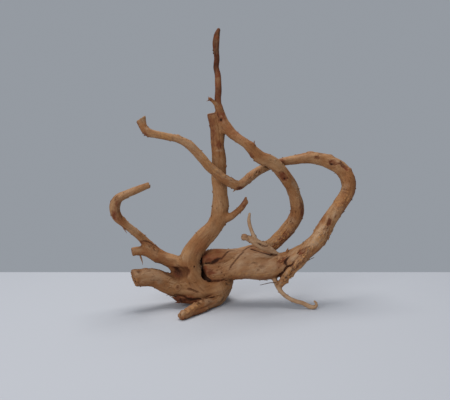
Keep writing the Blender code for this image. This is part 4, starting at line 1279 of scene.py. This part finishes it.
def store_looks(
    obj: bpy.types.Object, root: RootField, red: float = 0.0, pale: float = 0.0, dark: float = 0.0
) -> None:
    """Stores the grain and the colours' shares on the piece's points.

    A point's shade grows as the field a little way out of the skin falls short of that way,
    which it does in crotches and cracks.

    Args:
        obj: the piece.
        root: the field that it lies on.
        red: redness on top of the wood's.
        pale: paleness on top of the wood's.
        dark: darkness on top of the wood's.
    """
    mesh = obj.data
    points, normals = point_vectors(mesh, "co") / MM, point_vectors(mesh, "normal")
    reading = root.read(points)
    redness, paleness, darkness, flaky, gold = reading.looks.T
    for out, low, high, shade in SHADES:
        short = 1 - root.read(points + out * normals, fine=False).distance / out
        darkness = darkness + shade * rise(low, high, short)
    attributes = {
        "grain": reading.grain,
        "redness": redness + red,
        "paleness": paleness + pale,
        "darkness": np.clip(darkness + dark, 0, 1),
        "flakiness": flaky,
        "gold": gold,
        "hollowness": hollowness(mesh, points, normals),
        "sawn": reading.sawn * (reading.share < SAWN_SHARE),
        "heart": reading.share,
    }
    for name, values in attributes.items():
        vector = values.ndim == 2
        made = mesh.attributes.new(name, "FLOAT_VECTOR" if vector else "FLOAT", "POINT")
        made.data.foreach_set("vector" if vector else "value", values.astype(np.float32).ravel())


@dataclass
class RootBody:
    """The whole root's skin of wood, one closed piece."""

    root: RootField
    first_voxel: float = 1.5
    hollow_voxel: float = 0.8
    voxel: float = 1.175
    crisp_angle: float = 48.0

    @staticmethod
    def joined(forms: list[LimbForm], name: str) -> bpy.types.Object:
        """Puts the tubes of some limbs in one mesh, still running through one another.

        Args:
            forms: the limbs.
            name: of the object.

        Returns:
            The object.
        """
        points: list[Array] = []
        faces: Faces = []
        start = 0
        for form in forms:
            own_points, own_faces = form.tube()
            points.append(own_points)
            faces += [[start + i for i in face] for face in own_faces]
            start += len(own_points)
        return new_mesh(name, np.concatenate(points), faces)

    @staticmethod
    def fuse(obj: bpy.types.Object, voxel: float) -> None:
        """Makes the object one closed skin of even faces.

        Args:
            obj: the object.
            voxel: the width of a face.
        """
        remesh = obj.modifiers.new("fuse", "REMESH")
        remesh.mode = "VOXEL"
        remesh.voxel_size = voxel * MM
        apply_modifiers(obj)

    @staticmethod
    def carve(obj: bpy.types.Object, hollows: bpy.types.Object) -> None:
        """Takes the hollows out of the object, by a Boolean, and deletes them.

        Args:
            obj: the object.
            hollows: closed tubes.
        """
        carving = obj.modifiers.new("carve", "BOOLEAN")
        carving.operation = "DIFFERENCE"
        carving.solver = "MANIFOLD"
        carving.object = hollows
        apply_modifiers(obj)
        bpy.data.objects.remove(hollows)

    def settle(self, obj: bpy.types.Object, fine: bool = True, carved: bool = True) -> None:
        """Draws the object's skin onto the root's field, in two rounds.

        Args:
            obj: the object.
            fine: whether the field has its roughness and marks.
            carved: whether it has its hollows and creases.
        """
        points = self.root.settled(point_vectors(obj.data, "co") / MM, 2, fine, carved)
        obj.data.vertices.foreach_set("co", (points * MM).astype(np.float32).ravel())
        obj.data.update()

    def build(self) -> bpy.types.Object:
        """Fuses the limbs, carves the hollows, settles the skin and stores its looks.

        Returns:
            The finished piece.
        """
        body = self.joined(self.root.limbs, "peeled_root")
        self.fuse(body, self.first_voxel)
        self.settle(body, fine=False, carved=False)
        hollows = self.joined(self.root.hollows, "hollows")
        self.fuse(hollows, self.hollow_voxel)
        self.carve(body, hollows)
        self.fuse(body, self.voxel)
        self.settle(body, fine=False)
        self.settle(body)
        store_looks(body, self.root)
        body.data.shade_smooth()
        body.data.set_sharp_from_angle(angle=math.radians(self.crisp_angle))
        return body


@dataclass
class Splinters:
    """Broken twig stubs and the small slivers that stand off the wood, in one piece."""

    root: RootField
    spines: tuple[Spine, ...] = SPINES
    slivers: int = 300
    seed: int = 5
    sides: int = 7
    stations: int = 8
    smooth_share: float = 0.10
    least_taper: float = 0.16
    sunk: float = 0.35
    outward: Span = (0.25, 1.1)
    length: Span = (0.9, 2.6)
    flaky_longer: float = 0.8
    radius: Span = (0.45, 0.95)
    bend: float = 0.07
    unevenness: Span = (0.72, 1.2)

    def build(self, body: bpy.types.Object) -> bpy.types.Object:
        """Places the slivers on the body by a seeded rule, and adds the spines.

        A sliver starts on the wood, more often where it is flaky, and leans along the grain.

        Args:
            body: the skin that carries them.

        Returns:
            The finished piece.
        """
        draw = np.random.default_rng(self.seed)
        picked, normals, flaky = scattered(body, self.slivers, self.smooth_share, draw)
        runs = self.root.runs(picked) * draw.choice([-1.0, 1.0], (self.slivers, 1))
        ways = unit(runs + draw.uniform(*self.outward, (self.slivers, 1)) * normals)
        length = draw.uniform(*self.length, self.slivers) * (1 + self.flaky_longer * flaky)
        feet = np.concatenate([[spine.foot for spine in self.spines], picked])
        tips = np.concatenate([[spine.tip for spine in self.spines], picked + ways * length[:, None]])
        thin = draw.uniform(*self.radius, self.slivers)
        radii = np.concatenate([[spine.radius for spine in self.spines], thin])
        obj = new_mesh("splinters", *self.tubes(feet, tips, radii, draw))
        store_looks(obj, self.root, red=0.25, dark=0.12)
        obj.data.shade_smooth()
        return obj

    def tubes(
        self, feet: Array, tips: Array, radii: Array, draw: np.random.Generator
    ) -> tuple[Array, Faces]:
        """Makes one tapered, bent and slightly uneven tube for each foot.

        Its middle line is bent by the square of the way along it, and its rings shrink to the tip.

        Args:
            feet: where they leave the wood.
            tips: where they end.
            radii: their radii at the foot.
            draw: of the bends and the unevenness.

        Returns:
            The points and the faces.
        """
        bends = draw.normal(0.0, self.bend, (len(feet), 2))
        span = tips - feet
        length = np.linalg.norm(span, axis=1)
        way = unit(span)
        across = unit(np.cross(way, (0.31, 0.83, 0.47)))
        beside = np.cross(way, across)
        t = np.linspace(-self.sunk, 1.0, self.stations)[None, :, None]
        bow = bends[:, None, :1] * across[:, None] + bends[:, None, 1:] * beside[:, None]
        middle = feet[:, None] + span[:, None] * t + length[:, None, None] * t**2 * (1 - t) * bow * 3
        uneven = draw.uniform(*self.unevenness, (len(feet), self.stations, self.sides))
        taper = np.clip(1 - np.clip(t[..., 0], 0, 1) ** 1.4, self.least_taper, 1)
        arm = (radii[:, None] * taper)[..., None] * uneven
        round_about = spun(across[:, None], beside[:, None], self.sides)
        rings = middle[:, :, None] + arm[..., None] * round_about
        ends = np.stack([middle[:, 0], middle[:, -1] + 0.25 * radii[:, None] * way], axis=1)
        return closed_tubes(rings, ends)


def scattered(
    body: bpy.types.Object, count: int, floor: float, draw: np.random.Generator
) -> tuple[Array, Array, Array]:
    """Draws places on the body, more of them where it is flaky and none near the ground.

    Args:
        body: the skin.
        count: how many.
        floor: the share of a smooth place's chance in a flaky one's.
        draw: of the places.

    Returns:
        The places, the ways out of the skin there, and the flakiness there.
    """
    mesh = body.data
    flaky = np.empty(len(mesh.vertices), np.float32)
    mesh.attributes["flakiness"].data.foreach_get("value", flaky)
    points = point_vectors(mesh, "co") / MM
    chance = (floor + np.clip(flaky, 0, 1)) * (points[:, 2] > CLEAR_OF_GROUND)
    picked = draw.choice(len(points), count, replace=False, p=chance / chance.sum())
    return points[picked], point_vectors(mesh, "normal")[picked], flaky[picked]


@dataclass
class BarkScales:
    """Thin curled scales of bark that cling to the flaky stretches, in one piece."""

    root: RootField
    count: int = 340
    seed: int = 19
    along: int = 6
    across: int = 5
    thickness: float = 0.35
    raised: float = 0.22
    smooth_share: float = 0.015
    crisp_angle: float = 50.0
    stray: float = 0.2
    length: Span = (1.8, 5.2)
    width: Span = (0.5, 1.3)
    raggedness: Span = (0.75, 1.2)
    curl: Span = (0.02, 0.30)

    def build(self, body: bpy.types.Object) -> bpy.types.Object:
        """Lays small plates on the skin by a seeded rule.

        A plate's outline is an oval with a ragged edge. Its points are drawn onto the skin and
        lifted by a share of its length times the square of the way along it.

        Args:
            body: the skin that carries them.

        Returns:
            The finished piece.
        """
        draw = np.random.default_rng(self.seed)
        feet, normals, _ = scattered(body, self.count, self.smooth_share, draw)
        runs = unit(self.root.runs(feet) + draw.normal(0, self.stray, (self.count, 3)))
        sides = unit(np.cross(normals, runs))
        runs = np.cross(sides, normals)
        u = np.linspace(0, 1, self.along)[None, :, None]
        v = np.linspace(-1, 1, self.across)[None, None, :]
        length = draw.uniform(*self.length, (self.count, 1, 1))
        width = draw.uniform(*self.width, (self.count, 1, 1))
        ragged = draw.uniform(*self.raggedness, (self.count, self.along, self.across))
        outline = np.sqrt(np.clip(1 - (1.84 * (u - 0.5)) ** 2, 0.04, 1)) * ragged
        flat = (
            feet[:, None, None]
            + (u * length * (1 + 0.1 * (ragged - 1)))[..., None] * runs[:, None, None]
            + (v * width * outline)[..., None] * sides[:, None, None]
        )
        lain = self.root.settled(flat.reshape(-1, 3), 2).reshape(flat.shape)
        curl = draw.uniform(*self.curl, (self.count, 1, 1))
        lift = self.raised + curl * length * u**2 + 0.18 * v**2 * u
        top = lain + lift[..., None] * normals[:, None, None]
        sunk = self.thickness + 0.5 * (1 - u) + 0 * v
        bottom = top - sunk[..., None] * normals[:, None, None]
        obj = new_mesh("bark_scales", *closed_plates(top, bottom))
        store_looks(obj, self.root, red=0.12, pale=0.12)
        obj.data.shade_smooth()
        obj.data.set_sharp_from_angle(angle=math.radians(self.crisp_angle))
        return obj


def closed_plates(top: Array, bottom: Array) -> tuple[Array, Faces]:
    """Joins grids of points into plates with a top, a bottom and a rim.

    Args:
        top: points by plate, row, column and axis.
        bottom: as many, under them.

    Returns:
        The points and the faces, which point outwards.
    """
    plates, rows, columns = top.shape[:3]
    grid = np.arange(rows * columns).reshape(rows, columns)
    corners = (grid[:-1, :-1], grid[1:, :-1], grid[1:, 1:], grid[:-1, 1:])
    over = np.stack([corner.ravel() for corner in corners], axis=1)
    under = over[:, ::-1] + rows * columns
    loop = np.concatenate([grid[:-1, 0], grid[-1, :-1], grid[:0:-1, -1], grid[0, :0:-1]])
    after = np.roll(loop, -1)
    rim = np.stack([after, loop, loop + rows * columns, after + rows * columns], axis=1)
    points = np.concatenate([top.reshape(plates, -1, 3), bottom.reshape(plates, -1, 3)], axis=1)
    starts = np.arange(plates)[:, None, None] * points.shape[1]
    faces = (np.concatenate([over, under, rim]) + starts).reshape(-1, 4)
    return points.reshape(-1, 3), faces.tolist()


@dataclass
class LooseFibres:
    """The few loose threads that hang off the root, in one piece."""

    root: RootField
    fibres: tuple[Route, ...] = FIBRES
    stations: int = 14
    sides: int = 6

    def build(self) -> bpy.types.Object:
        """Reads each thread's curve at as many stations, and joins its rings.

        Returns:
            The finished piece.
        """
        rings: list[Array] = []
        ends: list[Array] = []
        for route in self.fibres:
            knots = np.array(route, float)
            length = np.linalg.norm(np.diff(knots[:, :3], axis=0), axis=1).sum()
            centres, radii, _ = LimbForm.sampled(knots, 0.999 * length / (self.stations - 1))
            centres, radii = centres[: self.stations], radii[: self.stations]
            spread = spun(*LimbForm.carried(centres), self.sides)
            rings.append(centres[:, None] + radii[:, None, None] * spread)
            ends.append(np.array([2 * centres[0] - centres[1], 2 * centres[-1] - centres[-2]]))
        obj = new_mesh("loose_fibres", *closed_tubes(np.array(rings), np.array(ends)))
        store_looks(obj, self.root, pale=0.6, dark=0.7)
        obj.data.shade_smooth()
        return obj


class Wire:
    """A shader socket that takes part in sums: an operator on it adds a Math node."""

    def __init__(self, tree: "ShaderTree", socket: bpy.types.NodeSocket) -> None:
        """Wraps a socket.

        Args:
            tree: where the socket is.
            socket: an output of one of the tree's nodes.
        """
        self.tree = tree
        self.socket = socket

    def __add__(self, other: "Wire | float") -> "Wire":
        """This plus other, either way round."""
        return self.tree.maths("ADD", self, other)

    __radd__ = __add__

    def __sub__(self, other: "Wire | float") -> "Wire":
        """This less other."""
        return self.tree.maths("SUBTRACT", self, other)

    def __rsub__(self, other: float) -> "Wire":
        """Other less this."""
        return self.tree.maths("SUBTRACT", other, self)

    def __mul__(self, other: "Wire | float") -> "Wire":
        """This times other, either way round."""
        return self.tree.maths("MULTIPLY", self, other)

    __rmul__ = __mul__

    def clamped(self) -> "Wire":
        """This, kept from 0 to 1."""
        return self.tree.maths("ADD", self, 0.0, clamp=True)

    def rise(self, low: float, high: float) -> "Wire":
        """Eased step from 0 where this is low to 1 where it is high."""
        values = {"Value": self, "From Min": low, "From Max": high}
        return self.tree.node("ShaderNodeMapRange", {"interpolation_type": "SMOOTHSTEP"}, values)["Result"]


class ShaderTree:
    """A material's nodes, made by short calls."""

    def __init__(self, name: str) -> None:
        """Starts a material with one Principled shader.

        Args:
            name: of the material.
        """
        self.material = bpy.data.materials.new(name)
        self.material.use_nodes = True
        self.nodes = self.material.node_tree.nodes
        self.links = self.material.node_tree.links
        self.shader = self.nodes["Principled BSDF"]

    def put(self, socket: bpy.types.NodeSocket, value: object) -> None:
        """Links a wire to an input, or sets the input to a number, vector or colour.

        Args:
            socket: the input.
            value: the wire or the value.
        """
        if isinstance(value, Wire):
            self.links.new(value.socket, socket)
        else:
            socket.default_value = value

    def node(
        self, kind: str, settings: dict[str, object], values: dict[str | int, object]
    ) -> dict[str, Wire]:
        """Adds a node.

        Args:
            kind: of the node.
            settings: set on it first.
            values: number, colour or wire for each input, by name or place.

        Returns:
            Its outputs by name.
        """
        made = self.nodes.new(kind)
        for name, value in settings.items():
            setattr(made, name, value)
        for name, value in values.items():
            self.put(made.inputs[name], value)
        return {out.name: Wire(self, out) for out in made.outputs if out.enabled}

    def maths(self, operation: str, a: Wire | float, b: Wire | float, clamp: bool = False) -> Wire:
        """A Math node on two numbers."""
        settings = {"operation": operation, "use_clamp": clamp}
        return self.node("ShaderNodeMath", settings, {0: a, 1: b})["Value"]

    def attribute(self, name: str, output: str = "Fac") -> Wire:
        """Reads one of the mesh's attributes."""
        return self.node("ShaderNodeAttribute", {"attribute_name": name}, {})[output]

    def places(self) -> Wire:
        """The object's own coordinates, in metres."""
        return self.node("ShaderNodeTexCoord", {}, {})["Object"]

    def stretched(self, vector: Wire, scale: Point) -> Wire:
        """The vector with each part multiplied."""
        settings = {"operation": "MULTIPLY"}
        return self.node("ShaderNodeVectorMath", settings, {0: vector, 1: scale})["Vector"]

    def noise(self, vector: Wire, scale: float, detail: float = 3.0, rough: float = 0.55) -> Wire:
        """Fractal noise from 0 to 1."""
        values = {"Vector": vector, "Scale": scale, "Detail": detail, "Roughness": rough}
        return self.node("ShaderNodeTexNoise", {}, values)["Fac"]

    def mixed(self, share: Wire, under: Wire | Colour, over: Colour) -> Wire:
        """Mixes colours.

        Args:
            share: of the upper colour, which the node keeps from 0 to 1.
            under: the colour where it is 0.
            over: the colour where it is 1.

        Returns:
            The mixed colour.
        """
        values: dict[str | int, object] = {0: share, 7: (*over, 1.0)}
        values[6] = under if isinstance(under, Wire) else (*under, 1.0)
        return self.node("ShaderNodeMix", {"data_type": "RGBA"}, values)["Result"]

    def bump(self, height: Wire, distance: float, strength: float, under: Wire | None) -> Wire:
        """Tilts the normal by a height.

        Args:
            height: the height.
            distance: how many metres a height of 1 is.
            strength: of the tilt.
            under: an earlier bump, if there is one.

        Returns:
            The normal.
        """
        values: dict[str | int, object] = {"Height": height, "Distance": distance}
        values["Strength"] = strength
        if under:
            values["Normal"] = under
        return self.node("ShaderNodeBump", {}, values)["Normal"]

    def feed(self, name: str, value: Wire | float | tuple[float, ...]) -> None:
        """Sets or links an input of the Principled shader."""
        self.put(self.shader.inputs[name], value)


@dataclass(frozen=True)
class PeeledWood:
    """The root's wood: tan where it was peeled, redder at bark and scars, painted shade in its cracks.

    Scales of noise are cells to a metre, and cells to a millimetre across and along the grain. Its
    edges are the values from which to which a share grows, and its bumps are metres and strengths.
    """

    tan: Colour = (0.276, 0.120, 0.044)
    straw: Colour = (0.365, 0.188, 0.078)
    umber: Colour = (0.150, 0.055, 0.019)
    rust: Colour = (0.212, 0.061, 0.025)
    bone: Colour = (0.455, 0.300, 0.182)
    amber: Colour = (0.480, 0.235, 0.085)
    # painted shade colour for grooves and crevices, mixed in by how hollow the skin is
    bark: Colour = (0.110, 0.034, 0.012)
    # painted shade of cracks, hollows, crotches, pits and grooves, also real dark specks and marks
    soot: Colour = (0.038, 0.013, 0.006)
    sawdust: Colour = (0.320, 0.168, 0.080)
    patch_scale: float = 38.0
    mottle_scale: float = 150.0
    fleck_scale: float = 300.0
    speck_scale: float = 620.0
    ring_scale: float = 9.0
    streak_scale: Point = (0.42, 0.42, 0.035)
    fibre_scale: Point = (1.7, 1.7, 0.10)
    patch_edge: Span = (0.36, 0.66)
    mottle_edge: Span = (0.38, 0.68)
    fleck_edge: Span = (0.46, 0.60)
    speck_edge: Span = (0.64, 0.74)
    streak_edge: Span = (0.48, 0.72)
    red_streak_edge: Span = (0.3, 0.7)
    fibre_edge: Span = (0.52, 0.72)
    sawn_edge: Span = (0.3, 0.8)
    streak_bump: Span = (0.0009, 0.35)
    fibre_bump: Span = (0.00035, 0.5)
    mottle_bump: Span = (0.0005, 0.35)
    streak_umber: float = 0.58
    mottle_umber: float = 0.32
    fibre_umber: float = 0.36
    crevice_bark: float = 2.4
    roughness: float = 0.68
    specular: float = 0.14

    def material(self) -> bpy.types.Material:
        """Builds the material from the mesh's attributes and noise along the grain.

        Returns:
            The material.
        """
        tree = ShaderTree("peeled_wood")
        grain = tree.attribute("grain", "Vector")
        places = tree.places()
        patches = tree.noise(places, self.patch_scale, 4.0).rise(*self.patch_edge)
        mottle = tree.noise(places, self.mottle_scale, 5.0, 0.6).rise(*self.mottle_edge)
        streaks = tree.noise(tree.stretched(grain, self.streak_scale), 1.0, 5.0, 0.6)
        fibres = tree.noise(tree.stretched(grain, self.fibre_scale), 1.0, 4.0, 0.6)
        specks = tree.noise(places, self.speck_scale, 2.0, 0.5)
        flecks = tree.noise(places, self.fleck_scale, 4.0, 0.65).rise(*self.fleck_edge)
        heart = tree.node("ShaderNodeCombineXYZ", {}, {"X": tree.attribute("heart")})["Vector"]
        rings = tree.noise(heart, self.ring_scale, 1.0)
        hollow = tree.attribute("hollowness")
        crevice = hollow.clamped()
        # paler away from grooves: wear on ridges, and a painted highlight
        ridge_wear_and_highlight = (0.45 - 6.0 * hollow).clamped()

        colour = tree.mixed(patches, self.tan, self.straw)
        colour = tree.mixed(self.streak_umber * streaks.rise(*self.streak_edge), colour, self.umber)
        colour = tree.mixed(self.mottle_umber * mottle, colour, self.umber)
        streaked = 0.12 * streaks.rise(*self.red_streak_edge)
        red = (tree.attribute("redness") * (0.55 + 0.7 * mottle) + streaked).clamped()
        colour = tree.mixed(red, colour, self.rust)
        # pale share: bare wood and painted highlights, from the paleness attribute and the ridges
        pale = tree.attribute("paleness") * (0.7 + 0.5 * mottle) + 0.34 * ridge_wear_and_highlight * patches
        colour = tree.mixed(pale.clamped() * (1.0 - red), colour, self.bone)
        colour = tree.mixed(tree.attribute("gold") * flecks, colour, self.amber)
        cut = tree.attribute("sawn").rise(*self.sawn_edge)
        colour = tree.mixed(cut * (0.4 + 0.5 * rings), colour, self.sawdust)
        colour = tree.mixed(self.fibre_umber * fibres.rise(*self.fibre_edge), colour, self.umber)
        # painted shade in grooves and crevices, darker where the skin is hollower
        colour = tree.mixed(self.crevice_bark * crevice, colour, self.bark)
        spots = (0.35 + 0.45 * tree.attribute("flakiness")) * specks.rise(*self.speck_edge)
        # dark share: painted shade from darkness and grooves, and real stains, knots and specks
        dark = 1.1 * tree.attribute("darkness") + 0.3 * crevice + spots
        tree.feed("Base Color", tree.mixed(dark, colour, self.soot))
        tree.feed("Roughness", (self.roughness + 0.16 * mottle - 0.10 * fibres).clamped())
        tree.feed("Specular IOR Level", self.specular)
        normal = tree.bump(streaks, *self.streak_bump, None)
        normal = tree.bump(fibres, *self.fibre_bump, normal)
        tree.feed("Normal", tree.bump(mottle, *self.mottle_bump, normal))
        return tree.material


@dataclass(frozen=True)
class PaperSweep:
    """The pale matt floor."""

    colour: Colour = (0.485, 0.50, 0.535)
    roughness: float = 0.9
    specular: float = 0.1

    def material(self) -> bpy.types.Material:
        """Builds the material.

        Returns:
            The material.
        """
        tree = ShaderTree("pale_paper")
        tree.feed("Base Color", (*self.colour, 1.0))
        tree.feed("Roughness", self.roughness)
        tree.feed("Specular IOR Level", self.specular)
        return tree.material


@dataclass(frozen=True)
class Lamp:
    """A square area light: where it is, what it faces, its side and its power."""

    name: str
    place: Point
    aim: Point
    size: float
    watts: float
    colour: Colour = (1.0, 0.985, 0.97)

    def build(self) -> None:
        """Adds the light to the scene."""
        lamp = bpy.data.lights.new(self.name, "AREA")
        lamp.size = self.size * MM
        lamp.energy = self.watts
        lamp.color = self.colour
        obj = bpy.data.objects.new(self.name, lamp)
        place, aim = Vector(self.place), Vector(self.aim)
        obj.location = place * MM
        obj.rotation_euler = (aim - place).to_track_quat("-Z", "Y").to_euler()
        bpy.context.scene.collection.objects.link(obj)


@dataclass(frozen=True)
class Studio:
    """The pale floor, the soft light and the camera."""

    floor_back: float = 153.0
    floor_front: float = -2500.0
    floor_half: float = 2500.0
    camera_place: Point = (12.0, -775.0, 228.0)
    camera_pitch: float = 7.0
    lens: float = 48.4
    sensor: float = 36.0
    nearest: float = 10.0
    wall: Colour = (0.30, 0.325, 0.36)
    lamps: tuple[Lamp, ...] = (
        Lamp("ceiling_light", (-60.0, 200.0, 1400.0), (20.0, 0.0, 60.0), 760.0, 13.4),
        Lamp("front_light", (-720.0, -1430.0, 760.0), (20.0, 0.0, 120.0), 800.0, 13.4),
    )

    def build(self) -> None:
        """Makes the floor, the lights, the world and the camera."""
        self.floor()
        for lamp in self.lamps:
            lamp.build()
        self.camera()
        scene = bpy.context.scene
        scene.view_settings.view_transform = "Standard"
        world = bpy.data.worlds.new("pale_wall")
        world.use_nodes = True
        background = world.node_tree.nodes["Background"]
        background.inputs["Color"].default_value = (*self.wall, 1.0)
        background.inputs["Strength"].default_value = 1.0
        scene.world = world

    def floor(self) -> None:
        """Lays a flat sheet under the root, whose back edge is the line behind it."""
        half = self.floor_half
        sides = ((-half, self.floor_front), (half, self.floor_front))
        sides += ((half, self.floor_back), (-half, self.floor_back))
        sheet = new_mesh("floor", np.array([(x, y, 0.0) for x, y in sides]), [[0, 1, 2, 3]])
        sheet.data.materials.append(PaperSweep().material())

    def camera(self) -> None:
        """Puts the camera at the height and distance that the root is seen from."""
        view = bpy.data.cameras.new("camera")
        view.lens = self.lens
        view.sensor_width = self.sensor
        view.clip_start = self.nearest * MM
        obj = bpy.data.objects.new("camera", view)
        obj.location = Vector(self.camera_place) * MM
        obj.rotation_euler = (math.radians(90.0 - self.camera_pitch), 0.0, 0.0)
        bpy.context.scene.collection.objects.link(obj)
        bpy.context.scene.camera = obj


def report(obj: bpy.types.Object) -> None:
    """Logs a piece's name and size.

    Args:
        obj: the piece.
    """
    mesh = obj.data
    mesh.calc_loop_triangles()
    LOG.info("%s: %d points, %d triangles", obj.name, len(mesh.vertices), len(mesh.loop_triangles))


def main() -> None:
    """Builds the studio and the pieces in order."""
    logging.basicConfig(level=logging.INFO, format="%(message)s")
    Studio().build()
    wood = PeeledWood().material()
    root = RootField(LIMBS, HOLLOWS, CREASES)
    body = RootBody(root).build()
    pieces = [body, Splinters(root).build(body), BarkScales(root).build(body)]
    pieces.append(LooseFibres(root).build())
    for piece in pieces:
        piece.data.materials.clear()
        piece.data.materials.append(wood)
        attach(piece, BODY)
        report(piece)
    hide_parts(NODE)


if __name__ == "__main__":
    main()
